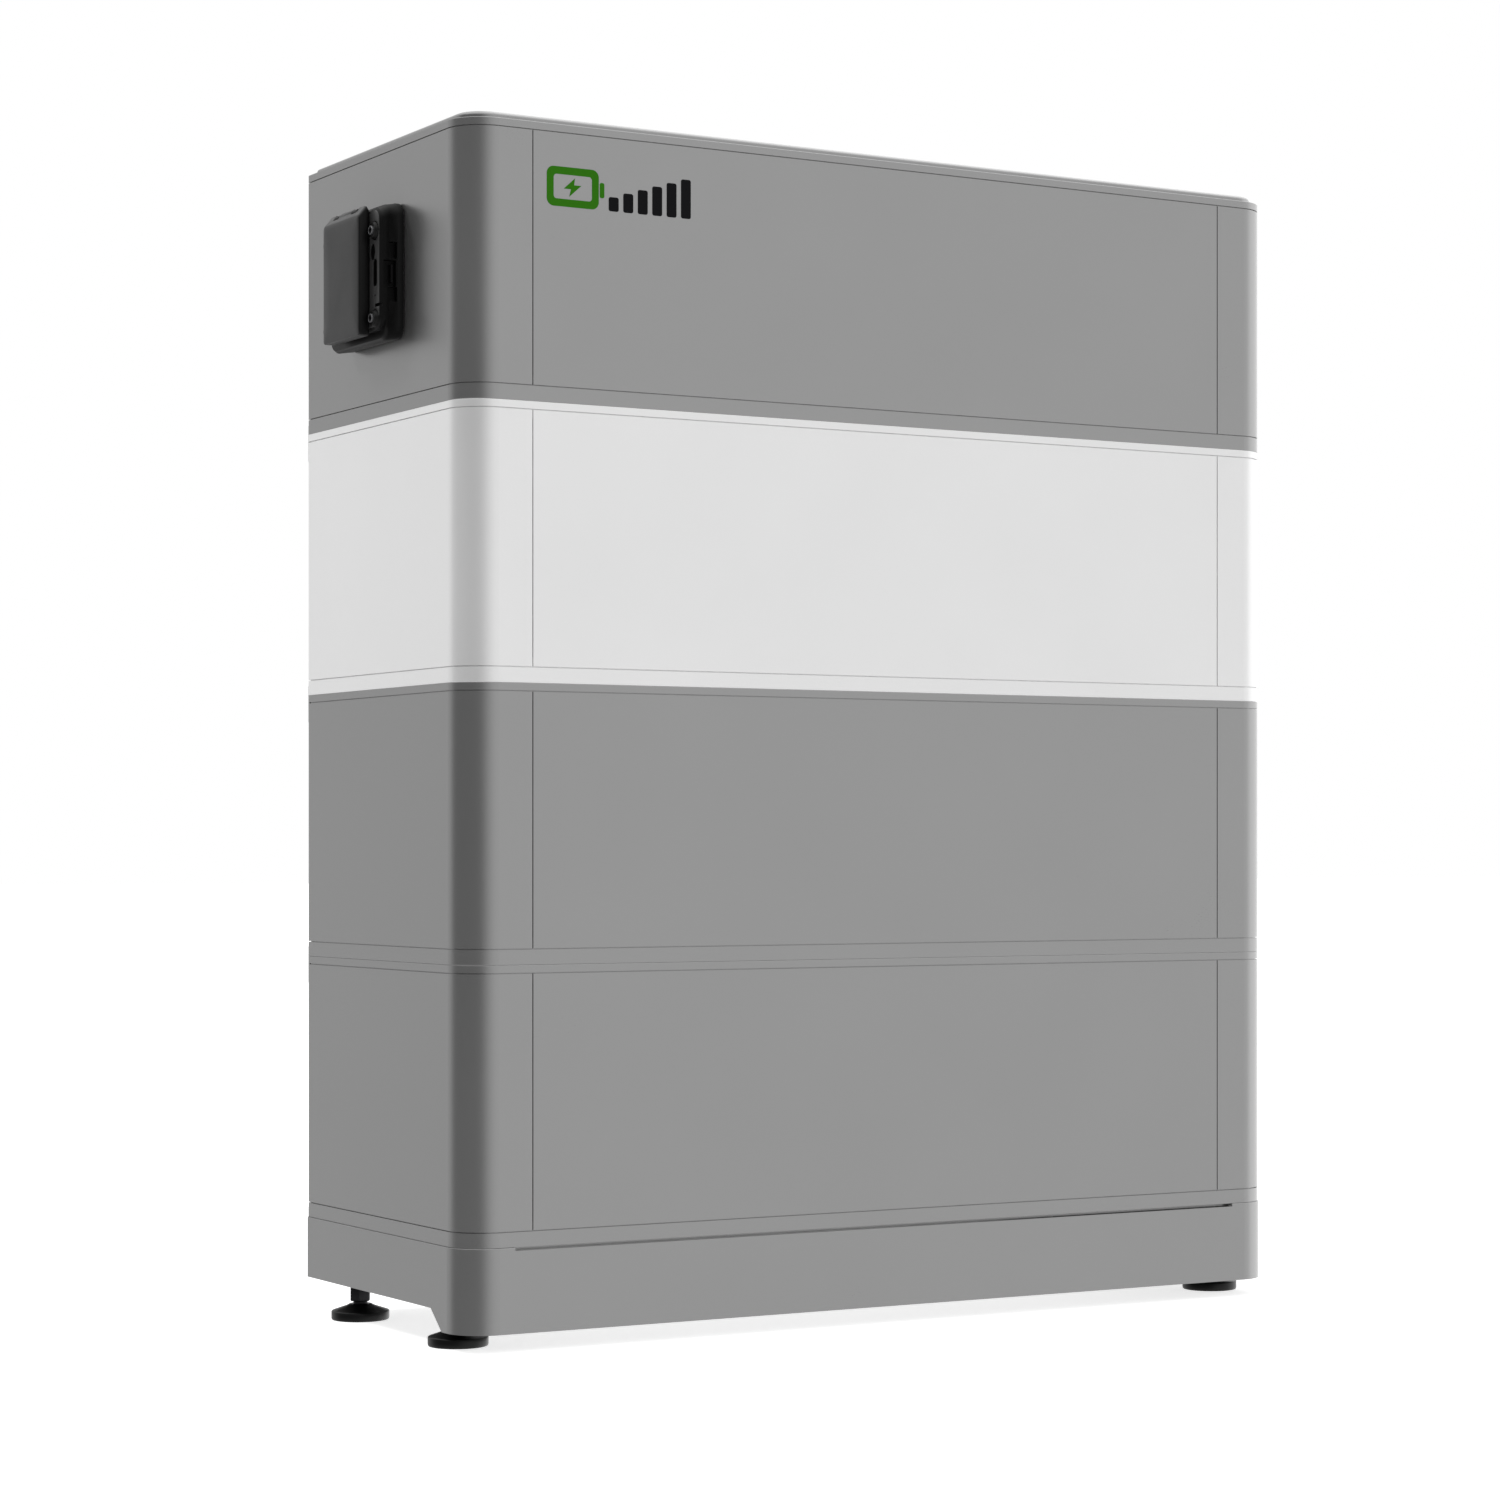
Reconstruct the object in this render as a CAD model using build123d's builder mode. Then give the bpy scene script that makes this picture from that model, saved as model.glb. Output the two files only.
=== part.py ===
from build123d import *

import os
from math import cos, pi, radians, sin

# A floor-standing battery stack: three battery modules under a control unit, on a plinth with
# four levelling feet. Every unit is a sheet-metal case of the same plan: two end shells that wrap
# the rounded front corners, a front and a rear panel between them, and a shallow tray at the
# bottom and the top. Blind-mating plugs join the units, and link plates hold them at the back.
#
# Frame: millimetres, +Z up, the front faces -Y. The origin is on the floor, at the centre of the
# footprint. The breaker with its flap is on the left side, -X, and the cable side is +X.

# ---------------------------------------------------------------- driving dimensions: the stack
stack_width = 650.0
stack_depth = 260.0
front_corner_radius = 25.0
rear_corner_radius = 4.0
edge_radius = 0.4

floor_clearance = 12.0
plinth_height = 56.0
module_count = 3
module_height = 183.2
control_height = 187.0
bottom_rim_height = 10.0
top_rim_height = 5.0
seam_gap = 0.7

# ------------------------------------------------------------------- driving dimensions: sheets
shell_wall = 1.5
tray_floor = 1.5
fit_clearance = 0.2
lip_wall = 1.2
lip_height = 6.0
return_depth = 10.0
return_wall = 1.2
return_end_gap = 0.5
front_column_width = 49.0
rear_column_width = 40.0
flute_width = 7.0
flute_depth = 0.8
flute_pitch = 21.0
flute_end_margin = 16.0

# ---------------------------------------------------------------------- driving dimensions: lid
lid_rim_height = 5.0
lid_rise = 5.0
lid_inset = 6.0
lid_rear_inset = 1.0
lid_edge_radius = 2.5
lid_skin = 1.5

# ------------------------------------------------------------------- driving dimensions: plinth
plinth_proud = 0.8
skirt_wall = 2.0
deck_thickness = 2.0
skirt_lift = 14.0
skirt_step_from_front = 33.0
skirt_step_run = 17.0
slot_length = 578.0
slot_height = 2.0
slot_depth = 6.0
rail_width = 30.0
rail_wall = 2.5
rail_drop = 1.0

# --------------------------------------------------------------------- driving dimensions: feet
foot_side_inset = 19.0
foot_end_inset = 50.0
pad_radius = 20.0
pad_rim_height = 6.5
pad_height = 11.0
pad_neck_radius = 7.5
pad_foot_chamfer = 0.8
pad_floor = 3.8
journal_radius = 5.0
journal_flange_radius = 7.0
journal_flange_height = 2.0
running_clearance = 0.05
axial_clearance = 0.2
neck_height = 1.8
hex_across_flats = 13.0
thread_radius = 4.0
bush_radius = 7.0
bush_height = 20.0
bush_drop = 3.0
stem_spare = 14.0

# --------------------------------------------------------- driving dimensions: between the units
pin_radius = 5.0
pin_rise = 8.0
pin_inset_x = 48.0
pin_inset_y = 70.0
pin_tip = 2.0
connector_from_side = 70.0
plug_length = 52.0
plug_width = 24.0
plug_rise = 13.0
plug_flange = 9.0
plug_flange_thickness = 2.0
plug_depth = 15.0
socket_wall = 6.0
socket_roof = 8.0
mate_clearance = 0.5
power_contact_radius = 4.0
power_contact_offset = 18.0
signal_contact_radius = 1.0
signal_contact_pitch = 4.0
contact_rise = 5.0
link_width = 36.0
link_from_side = 20.0
link_thickness = 2.0
link_below = 21.0
link_above = 9.0
link_screw_spread = 20.0
link_screw_below = 15.0
link_screw_above = 5.0
link_screw_radius = 2.0
link_head_radius = 3.8
link_head_height = 2.0
link_screw_grip = 6.0

# ------------------------------------------------------------ driving dimensions: cells and boards
cell_count = 16
cell_width = 26.7
cell_depth = 148.0
cell_height = 116.0
cell_gap = 0.5
cell_edge_radius = 1.5
terminal_length = 18.0
terminal_width = 14.0
terminal_height = 2.5
terminal_inset = 16.0
pack_from_left = 62.0
clamp_plate = 8.0
clamp_gap = 0.3
strap_thickness = 1.2
strap_height = 18.0
strap_spacing = 60.0
busbar_width = 13.0
busbar_thickness = 2.0
board_thickness = 1.6
board_gap = 8.0
board_depth = 120.0
board_height = 96.0
board_lift = 8.0
standoff_radius = 3.0
board_margin = 8.0

# ------------------------------------------------------------ driving dimensions: control interior
power_board_left_gap = 46.0
power_board_right_gap = 7.5
power_board_front_gap = 33.5
power_board_rear_gap = 21.5
power_board_lift = 16.0
sink_length = 460.0
sink_height = 128.0
sink_frame = 8.0
sink_depth = 12.0
sink_base = 4.0
fin_thickness = 2.0
fin_pitch = 11.5
fin_set_back = 1.0
bracket_hole_radius = 2.75
bracket_hole_from_side = 20.0
bracket_hole_spacing = 60.0

# ------------------------------------------------------------- driving dimensions: breaker housing
housing_y = 8.0
housing_length = 92.0
housing_height = 94.0
housing_corner = 10.0
gasket_thickness = 1.5
gasket_inset = 2.0
base_layer = 5.5
groove_layer = 5.5
groove_inset = 2.0
flange_layer = 5.5
flange_edge_radius = 1.5
window_length = 38.0
window_height = 47.0
pocket_length = 46.0
pocket_height = 63.0
pocket_floor = 12.0
collar_wall = 2.6
collar_rise = 2.0
housing_bolt_x = 38.0
housing_bolt_y = 30.0
bolt_shank_radius = 2.0
bolt_head_radius = 3.5
bolt_head_height = 4.0
bolt_socket_radius = 1.75
bolt_socket_depth = 2.2
washer_radius = 5.5
washer_thickness = 1.0
catch_plate_height = 42.0
catch_plate_width = 8.0
catch_plate_rise = 2.5
side_pocket_depth = 3.0
cover_length = 60.0
cover_height = 80.0
cover_drop = 3.0
cover_wall = 2.0
cover_gap = 0.3
cover_rise = 27.0
cover_edge_radius = 1.2
hinge_y = 41.0
hinge_rise = 21.2
knuckle_radius = 2.6
hinge_pin_radius = 1.25
cover_knuckle_length = 22.0
frame_knuckle_length = 7.0
knuckle_gap = 0.5
tab_length = 26.0
tab_depth = 4.0
tab_thickness = 2.2
breaker_length = 36.0
breaker_nose_height = 45.0
breaker_body_height = 85.0
breaker_nose_rise = 8.0
breaker_shoulder = 5.0
breaker_depth = 58.0
breaker_bracket_width = 30.0
breaker_bracket_thickness = 6.0
breaker_bracket_rise = 17.5
toggle_length = 30.0
toggle_reach = 15.0
toggle_thickness = 5.0
toggle_hub_radius = 6.0
toggle_axis_rise = 2.0
toggle_rest_angle = 25.0
toggle_pin_radius = 1.5
toggle_clearance = 0.6

# ----------------------------------------------------------------- driving dimensions: cable side
receptacle_positions = ((-30.0, 25.0), (12.0, 25.0))
receptacle_radius = 8.5
receptacle_reach = 27.0
receptacle_bore_radius = 5.5
receptacle_bore_depth = 18.0
receptacle_pin_radius = 2.6
receptacle_nut_flats = 24.0
receptacle_nut_thickness = 5.0
receptacle_tail = 18.0
receptacle_tail_radius = 7.0
gland_position = (54.0, 25.0)
gland_flats = 24.0
gland_reach = 24.0
gland_thread_radius = 8.0
gland_nut_radius = 11.0
earth_position = (54.0, -40.0)
earth_stud_radius = 3.0
earth_stud_reach = 20.0
earth_nut_flats = 10.0
earth_nut_thickness = 5.0
button_position = (-70.0, 0.0)
bezel_radius = 12.0
bezel_rise = 3.5
button_radius = 8.0
button_rise = 5.5
button_travel = 2.0
button_barrel_radius = 10.0
button_collar = 0.8
button_collar_height = 1.3
button_barrel_depth = 22.0
button_stem_radius = 4.0

# ------------------------------------------------------------------------------- derived heights
plinth_top = floor_clearance + plinth_height
module_bases = [plinth_top + n * module_height for n in range(module_count)]
control_base = plinth_top + module_count * module_height
control_top = control_base + control_height
unit_bases = [*module_bases, control_base]
lid_height = lid_rim_height + lid_rise
lip_outer = shell_wall + fit_clearance
lip_inner = lip_outer + lip_wall
side_x = stack_width / 2
front_y = -stack_depth / 2
rear_y = stack_depth / 2
connector_x = side_x - connector_from_side
socket_length = plug_length + 2 * (mate_clearance + socket_wall)
socket_width = plug_width + 2 * (mate_clearance + socket_wall)
housing_z = (control_base + bottom_rim_height + control_top - lid_height) / 2

left_side = Plane(origin=(-side_x, housing_y, housing_z), x_dir=(0, -1, 0), z_dir=(-1, 0, 0))
right_side = Plane(origin=(side_x, 0, housing_z), x_dir=(0, 1, 0), z_dir=(1, 0, 0))


def save(part, name):
    """Label a finished piece and write it as its own STEP file."""
    part.label = name
    export_step(part, f"parts/{name}.step")


# ------------------------------------------------------------------------------- shared outlines
def outline(inset=0.0):
    """Plan outline of the stack, moved inward by inset."""
    smallest = 0.5
    with BuildSketch() as plan:
        Rectangle(stack_width - 2 * inset, stack_depth - 2 * inset)
        front = plan.vertices().group_by(Axis.Y)[0]
        fillet(front, max(front_corner_radius - inset, smallest))
        rear = plan.vertices().group_by(Axis.Y)[-1]
        fillet(rear, max(rear_corner_radius - inset, smallest))
    return plan.sketch


def column_zone(side):
    """The part of the plan that belongs to one end shell: its front and rear columns."""
    front_width = front_column_width - seam_gap / 2
    rear_width = rear_column_width - seam_gap / 2
    with BuildSketch() as zone:
        with Locations((side * (side_x - front_width / 2), front_y / 2)):
            Rectangle(front_width, stack_depth / 2)
        with Locations((side * (side_x - rear_width / 2), rear_y / 2)):
            Rectangle(rear_width, stack_depth / 2)
    return zone.sketch


def pin_places(z):
    """Places of the two locating pins on one joint face, one towards each rear and front corner."""
    x = side_x - pin_inset_x
    y = stack_depth / 2 - pin_inset_y
    return [(-x, -y, z), (x, y, z)]


def link_screw_places(z_joint):
    """Screw axes of the two link plates over one joint, as points on the rear face."""
    places = []
    for side in (-1, 1):
        for across in (-1, 1):
            x = side * (side_x - link_from_side) + across * link_screw_spread / 2
            places.append((x, rear_y, z_joint - link_screw_below))
            places.append((x, rear_y, z_joint + link_screw_above))
    return places


def wall_low(base):
    """Lower edge of a unit's end shells and panels."""
    return base + bottom_rim_height + seam_gap


def wall_high(top, rim):
    """Upper edge of a unit's end shells and panels."""
    return top - rim - seam_gap


# ----------------------------------------------------------------------------------------- trays
def bottom_tray(base):
    """Pan under a unit, with openings for the socket, the locating pins and the link screws."""
    rise = seam_gap + lip_height
    with BuildPart() as tray:
        with BuildSketch(Plane.XY.offset(base)):
            add(outline())
        extrude(amount=bottom_rim_height)
        with BuildSketch(Plane.XY.offset(base + bottom_rim_height)):
            add(outline(lip_outer))
        extrude(amount=rise)
        with BuildSketch(Plane.XY.offset(base + tray_floor)):
            add(outline(lip_inner))
        extrude(amount=bottom_rim_height + rise, mode=Mode.SUBTRACT)
        fillet(tray.faces().sort_by(Axis.Z)[0].outer_wire().edges(), edge_radius)
        with Locations((connector_x, 0, base)):
            Box(socket_length + 2 * fit_clearance, socket_width + 2 * fit_clearance, 3 * tray_floor,
                mode=Mode.SUBTRACT)
        with Locations(*pin_places(base)):
            Cylinder(pin_radius + mate_clearance, 3 * tray_floor, mode=Mode.SUBTRACT)
        with Locations(*[p for p in link_screw_places(base) if p[2] > base]):
            Cylinder(link_screw_radius, 4 * lip_inner, rotation=(90, 0, 0), mode=Mode.SUBTRACT)
    return tray.part


def top_tray(top):
    """Cover over a module, with openings for its plug, the locating pins and cell gases."""
    with BuildPart() as tray:
        with BuildSketch(Plane.XY.offset(top - top_rim_height)):
            add(outline())
        extrude(amount=top_rim_height)
        with BuildSketch(Plane.XY.offset(top - top_rim_height - seam_gap - lip_height)):
            add(outline(lip_outer))
        extrude(amount=seam_gap + lip_height)
        with BuildSketch(Plane.XY.offset(top - tray_floor)):
            add(outline(lip_inner))
        extrude(amount=-(top_rim_height + seam_gap + lip_height), mode=Mode.SUBTRACT)
        fillet(tray.faces().sort_by(Axis.Z)[-1].outer_wire().edges(), edge_radius)
        with Locations((connector_x, 0, top)):
            Box(plug_length + 2 * fit_clearance, plug_width + 2 * fit_clearance, 3 * tray_floor,
                mode=Mode.SUBTRACT)
        with Locations(*pin_places(top)):
            Cylinder(pin_radius, 3 * tray_floor, mode=Mode.SUBTRACT)
    return tray.part


# -------------------------------------------------------------------------- end shells and panels
def end_shell(side, base, top, rim, joint_screws=True):
    """One end of a unit: side wall, rounded front corner, front and rear columns with returns."""
    low = wall_low(base)
    high = wall_high(top, rim)
    return_low = low + lip_height + return_end_gap
    front_edge = side_x - front_column_width + seam_gap / 2
    rear_edge = side_x - rear_column_width + seam_gap / 2
    with BuildPart() as end:
        with BuildSketch(Plane.XY.offset(low)):
            add(outline())
            add(outline(shell_wall), mode=Mode.SUBTRACT)
            add(column_zone(side), mode=Mode.INTERSECT)
        extrude(amount=high - low)
        with BuildSketch(Plane.XY.offset(return_low)):
            with Locations((side * (front_edge + return_wall / 2), front_y + return_depth / 2)):
                Rectangle(return_wall, return_depth)
            with Locations((side * (rear_edge + return_wall / 2), rear_y - return_depth / 2)):
                Rectangle(return_wall, return_depth)
        extrude(amount=high - low - 2 * (lip_height + return_end_gap))
        if joint_screws:
            with Locations(*[p for p in link_screw_places(top) if p[2] < top and p[0] * side > 0]):
                Cylinder(link_screw_radius, 4 * shell_wall, rotation=(90, 0, 0), mode=Mode.SUBTRACT)
    return end.part


def panel(face, base, top, rim, column_width):
    """Flat sheet between two columns with a folded return along each side; face is -1 or 1."""
    low = wall_low(base)
    high = wall_high(top, rim)
    half = side_x - column_width - seam_gap / 2
    skin_y = face * (stack_depth / 2 - shell_wall / 2)
    return_y = face * (stack_depth / 2 - return_depth / 2)
    with BuildPart() as sheet:
        with BuildSketch(Plane.XY.offset(low)):
            with Locations((0, skin_y)):
                Rectangle(2 * half, shell_wall)
        extrude(amount=high - low)
        with BuildSketch(Plane.XY.offset(low + lip_height + return_end_gap)):
            with Locations((-half + return_wall / 2, return_y), (half - return_wall / 2, return_y)):
                Rectangle(return_wall, return_depth)
        extrude(amount=high - low - 2 * (lip_height + return_end_gap))
    return sheet.part


def fluted_panel(base, top):
    """Rear panel of a module: the flat sheet with upright flutes that stiffen it."""
    low = wall_low(base)
    high = wall_high(top, top_rim_height)
    span = 2 * (side_x - rear_column_width) - flute_pitch
    count = int(span // flute_pitch)
    height = high - low - 2 * flute_end_margin
    with BuildPart() as sheet:
        add(panel(1, base, top, top_rim_height, rear_column_width))
        with BuildSketch(Plane(origin=(0, rear_y, (low + high) / 2), x_dir=(-1, 0, 0), z_dir=(0, 1, 0))):
            with GridLocations(flute_pitch, 1, count, 1):
                SlotOverall(height, flute_width, rotation=90)
        extrude(amount=-flute_depth, mode=Mode.SUBTRACT)
    return sheet.part


# ------------------------------------------------------------------------------------------- lid
def plateau(inset):
    """Plan of the raised field on the lid, moved inward by inset; it runs to the rear edge."""
    length = stack_width - 2 * (lid_inset + inset)
    depth = stack_depth - lid_inset - lid_rear_inset - 2 * inset
    smallest = 0.5
    with BuildSketch() as plan:
        with Locations((0, (lid_inset - lid_rear_inset) / 2)):
            Rectangle(length, depth)
        front = plan.vertices().group_by(Axis.Y)[0]
        fillet(front, max(front_corner_radius - lid_inset - inset, smallest))
        rear = plan.vertices().group_by(Axis.Y)[-1]
        fillet(rear, max(rear_corner_radius - inset, smallest))
    return plan.sketch


def control_lid():
    """Cover of the control unit: a rim that follows the case and a raised, soft-edged field."""
    rim_low = control_top - lid_height
    with BuildPart() as lid:
        with BuildSketch(Plane.XY.offset(rim_low)):
            add(outline())
        extrude(amount=lid_rim_height)
        fillet(lid.faces().sort_by(Axis.Z)[-1].outer_wire().edges(), edge_radius)
        with BuildSketch(Plane.XY.offset(rim_low + lid_rim_height)):
            add(plateau(0))
        extrude(amount=lid_rise)
        fillet(lid.faces().sort_by(Axis.Z)[-1].outer_wire().edges(), lid_edge_radius)
        with BuildSketch(Plane.XY.offset(rim_low - seam_gap - lip_height)):
            add(outline(lip_outer))
        extrude(amount=seam_gap + lip_height)
        with BuildSketch(Plane.XY.offset(rim_low - seam_gap - lip_height)):
            add(outline(lip_inner))
        extrude(amount=seam_gap + lip_height + lid_rim_height - lid_skin, mode=Mode.SUBTRACT)
        with BuildSketch(Plane.XY.offset(rim_low)):
            add(plateau(lid_skin))
        extrude(amount=lid_height - lid_skin, mode=Mode.SUBTRACT)
    return lid.part


# ---------------------------------------------------------------------------------------- plinth
def plinth():
    """Folded base: a skirt cut high at the sides and back, under a deck that carries the stack."""
    inner = skirt_wall - plinth_proud
    step_y = front_y + skirt_step_from_front
    with BuildPart() as base:
        with BuildSketch(Plane.XY.offset(floor_clearance)):
            add(outline(-plinth_proud))
        extrude(amount=plinth_height)
        with BuildSketch(Plane.XY.offset(floor_clearance)):
            add(outline(inner))
        extrude(amount=plinth_height - deck_thickness, mode=Mode.SUBTRACT)
        fillet(base.faces().sort_by(Axis.Z)[-1].outer_wire().edges(), edge_radius)
        with BuildSketch(Plane.YZ.offset(-stack_width)):
            with BuildLine():
                Polyline(
                    (step_y, floor_clearance - 1),
                    (step_y, floor_clearance),
                    (step_y + skirt_step_run, floor_clearance + skirt_lift),
                    (stack_depth, floor_clearance + skirt_lift),
                    (stack_depth, floor_clearance - 1),
                    close=True,
                )
            make_face()
        extrude(amount=2 * stack_width, mode=Mode.SUBTRACT)
        with Locations((0, front_y - plinth_proud, plinth_top)):
            Box(slot_length, 2 * slot_depth, 2 * slot_height, mode=Mode.SUBTRACT)
        with Locations((connector_x, 0, plinth_top)):
            Box(plug_length + 2 * fit_clearance, plug_width + 2 * fit_clearance, 3 * deck_thickness,
                mode=Mode.SUBTRACT)
        with Locations(*pin_places(plinth_top)):
            Cylinder(pin_radius, 3 * deck_thickness, mode=Mode.SUBTRACT)
        with Locations(*[p for p in link_screw_places(plinth_top) if p[2] < plinth_top]):
            Cylinder(link_screw_radius, 4 * skirt_wall, rotation=(90, 0, 0), mode=Mode.SUBTRACT)
    return base.part


foot_x = side_x - foot_side_inset
foot_y = stack_depth / 2 - foot_end_inset
rail_bottom = floor_clearance + skirt_lift + rail_drop
rail_top = plinth_top - deck_thickness
bush_bottom = rail_bottom - bush_drop


def rails():
    """Two box rails welded under the deck, each with two threaded bushes for the feet."""
    height = rail_top - rail_bottom
    middle_z = (rail_top + rail_bottom) / 2
    length = stack_depth - 2 * front_corner_radius
    with BuildPart() as frame:
        with Locations((-foot_x, 0, middle_z), (foot_x, 0, middle_z)):
            Box(rail_width, length, height)
        with Locations((-foot_x, 0, middle_z), (foot_x, 0, middle_z)):
            Box(rail_width - 2 * rail_wall, 2 * length, height - 2 * rail_wall, mode=Mode.SUBTRACT)
        with BuildSketch(Plane.XY.offset(bush_bottom)):
            with GridLocations(2 * foot_x, 2 * foot_y, 2, 2):
                Circle(bush_radius)
        extrude(amount=bush_height)
        with BuildSketch(Plane.XY.offset(bush_bottom)):
            with GridLocations(2 * foot_x, 2 * foot_y, 2, 2):
                Circle(thread_radius + running_clearance)
        extrude(amount=bush_height, mode=Mode.SUBTRACT)
    return frame.part


# ------------------------------------------------------------------------------------------ feet
hex_top = bush_bottom - axial_clearance
hex_bottom = pad_height + neck_height


def foot_pad(x, y):
    """Round foot that stands still on the floor while the stem turns in its captive seat."""
    seat_radius = journal_flange_radius + running_clearance
    bore_radius = journal_radius + running_clearance
    seat_top = pad_floor + 2 * axial_clearance + journal_flange_height
    with BuildPart() as pad:
        with BuildSketch(Plane.XZ):
            with BuildLine():
                Polyline(
                    (0, 0),
                    (pad_radius - pad_foot_chamfer, 0),
                    (pad_radius, pad_foot_chamfer),
                    (pad_radius, pad_rim_height),
                    (pad_neck_radius, pad_height),
                    (bore_radius, pad_height),
                    (bore_radius, seat_top),
                    (seat_radius, seat_top),
                    (seat_radius, pad_floor),
                    (0, pad_floor),
                    close=True,
                )
            make_face()
        revolve(axis=Axis.Z)
    return pad.part.moved(Location((x, y, 0)))


def foot_stem(x, y):
    """Threaded stem with its spanner hexagon and the flange that is captive in the pad."""
    start = pad_floor + axial_clearance
    top = bush_bottom + bush_height + stem_spare
    with BuildPart() as stem:
        with BuildSketch(Plane.XY.offset(start)):
            Circle(journal_flange_radius)
        extrude(amount=journal_flange_height)
        with BuildSketch(Plane.XY.offset(start)):
            Circle(journal_radius)
        extrude(amount=hex_bottom - start)
        with BuildSketch(Plane.XY.offset(hex_bottom)):
            RegularPolygon(hex_across_flats / 2, 6, major_radius=False)
        extrude(amount=hex_top - hex_bottom)
        with BuildSketch(Plane.XY.offset(hex_top)):
            Circle(thread_radius)
        extrude(amount=top - hex_top)
        chamfer(stem.faces().sort_by(Axis.Z)[-1].edges(), thread_radius / 4)
    return stem.part.moved(Location((x, y, 0)))


# ---------------------------------------------------------------------- pieces between the units
def plug(face_z):
    """Blind-mating plug that stands out of a joint face, with power and signal contacts."""
    bottom = face_z - plug_depth
    with BuildPart() as body:
        with BuildSketch(Plane.XY.offset(bottom)):
            RectangleRounded(plug_length, plug_width, 4)
        extrude(amount=plug_depth + plug_rise)
        chamfer(body.faces().sort_by(Axis.Z)[-1].edges(), 1)
        with BuildSketch(Plane.XY.offset(bottom + plug_depth / 2)):
            RectangleRounded(plug_length + plug_flange, plug_width + plug_flange, 4)
        extrude(amount=plug_flange_thickness)
        with BuildSketch(Plane.XY.offset(face_z + plug_rise)):
            with Locations((-power_contact_offset, 0), (power_contact_offset, 0)):
                Circle(power_contact_radius)
            with GridLocations(signal_contact_pitch, signal_contact_pitch, 3, 2):
                Circle(signal_contact_radius)
        extrude(amount=contact_rise)
    return body.part.moved(Location((connector_x, 0, 0)))


def socket(base):
    """Floating socket in a unit's floor that drops over the plug below."""
    length = plug_length + 2 * mate_clearance
    width = plug_width + 2 * mate_clearance
    depth = plug_rise + mate_clearance
    hole = mate_clearance
    with BuildPart() as body:
        with BuildSketch(Plane.XY.offset(base)):
            RectangleRounded(length + 2 * socket_wall, width + 2 * socket_wall, 6)
        extrude(amount=depth + socket_roof)
        with BuildSketch(Plane.XY.offset(base)):
            RectangleRounded(length, width, 4)
        extrude(amount=depth, mode=Mode.SUBTRACT)
        with BuildSketch(Plane.XY.offset(base)):
            with Locations((-power_contact_offset, 0), (power_contact_offset, 0)):
                Circle(power_contact_radius + hole)
            with GridLocations(signal_contact_pitch, signal_contact_pitch, 3, 2):
                Circle(signal_contact_radius + hole)
        extrude(amount=depth + contact_rise + hole, mode=Mode.SUBTRACT)
    return body.part.moved(Location((connector_x, 0, 0)))


def locating_pins():
    """Two pins in every joint face that steer the next unit down onto the plug."""
    under = 4.0
    with BuildPart() as pins:
        for joint_z in unit_bases:
            with Locations(*pin_places(joint_z - under)):
                Cylinder(pin_radius, under + pin_rise, align=(Align.CENTER, Align.CENTER, Align.MIN))
        tips = pins.edges().filter_by(GeomType.CIRCLE)
        tops = [e for e in tips if any(abs(e.center().Z - z - pin_rise) < 1e-3 for z in unit_bases)]
        chamfer(tops, pin_tip)
    return pins.part


def link_plates():
    """Plates across every joint at the back, which bolt each unit to the one below."""
    height = link_below + link_above
    with BuildPart() as plates:
        for joint_z in unit_bases:
            middle_z = joint_z - link_below + height / 2
            with BuildSketch(Plane(origin=(0, rear_y, middle_z), x_dir=(-1, 0, 0), z_dir=(0, 1, 0))):
                with GridLocations(2 * (side_x - link_from_side), 1, 2, 1):
                    RectangleRounded(link_width, height, 3)
            extrude(amount=link_thickness)
            with Locations(*link_screw_places(joint_z)):
                Cylinder(link_screw_radius, 4 * link_thickness, rotation=(90, 0, 0),
                         mode=Mode.SUBTRACT)
        # The skirt of the plinth stands proud of the cases, so the lowest plates are eased there.
        with Locations((0, rear_y, plinth_top - link_below)):
            Box(stack_width, 2 * plinth_proud + fit_clearance, 2 * link_below, mode=Mode.SUBTRACT)
    return plates.part


def link_screws():
    """Pan-head screws of the link plates."""
    with BuildPart() as screw:
        Cylinder(link_screw_radius, link_screw_grip + link_thickness,
                 align=(Align.CENTER, Align.CENTER, Align.MAX))
        Cylinder(link_head_radius, link_head_height, align=(Align.CENTER, Align.CENTER, Align.MIN))
        fillet(screw.faces().sort_by(Axis.Z)[-1].edges(), link_head_height * 0.6)
        with BuildSketch(Plane.XY.offset(link_head_height)):
            RegularPolygon(1.4, 6)
        extrude(amount=-link_head_height * 0.6, mode=Mode.SUBTRACT)
    with BuildPart() as screws:
        for joint_z in unit_bases:
            for x, y, z in link_screw_places(joint_z):
                seat = Plane(origin=(x, y + link_thickness, z), z_dir=(0, 1, 0))
                add(seat * screw.part)
    return screws.part


# --------------------------------------------------------------------------- inside the modules
cell_pitch = cell_width + cell_gap
pack_length = cell_count * cell_pitch
pack_start = -side_x + pack_from_left + clamp_plate
cell_xs = [pack_start + (n + 0.5) * cell_pitch for n in range(cell_count)]
terminal_y = cell_depth / 2 - terminal_inset


def cells(base):
    """Row of prismatic cells on the module's floor, each a can with two terminal blocks."""
    floor = base + tray_floor
    with BuildPart() as can:
        with BuildSketch():
            RectangleRounded(cell_width, cell_depth, cell_edge_radius)
        extrude(amount=cell_height)
        with BuildSketch(Plane.XY.offset(cell_height)):
            with Locations((0, -terminal_y), (0, terminal_y)):
                Rectangle(terminal_width, terminal_length)
        extrude(amount=terminal_height)
    with BuildPart() as row:
        for x in cell_xs:
            add(Location((x, 0, floor)) * can.part)
    return row.part


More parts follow.
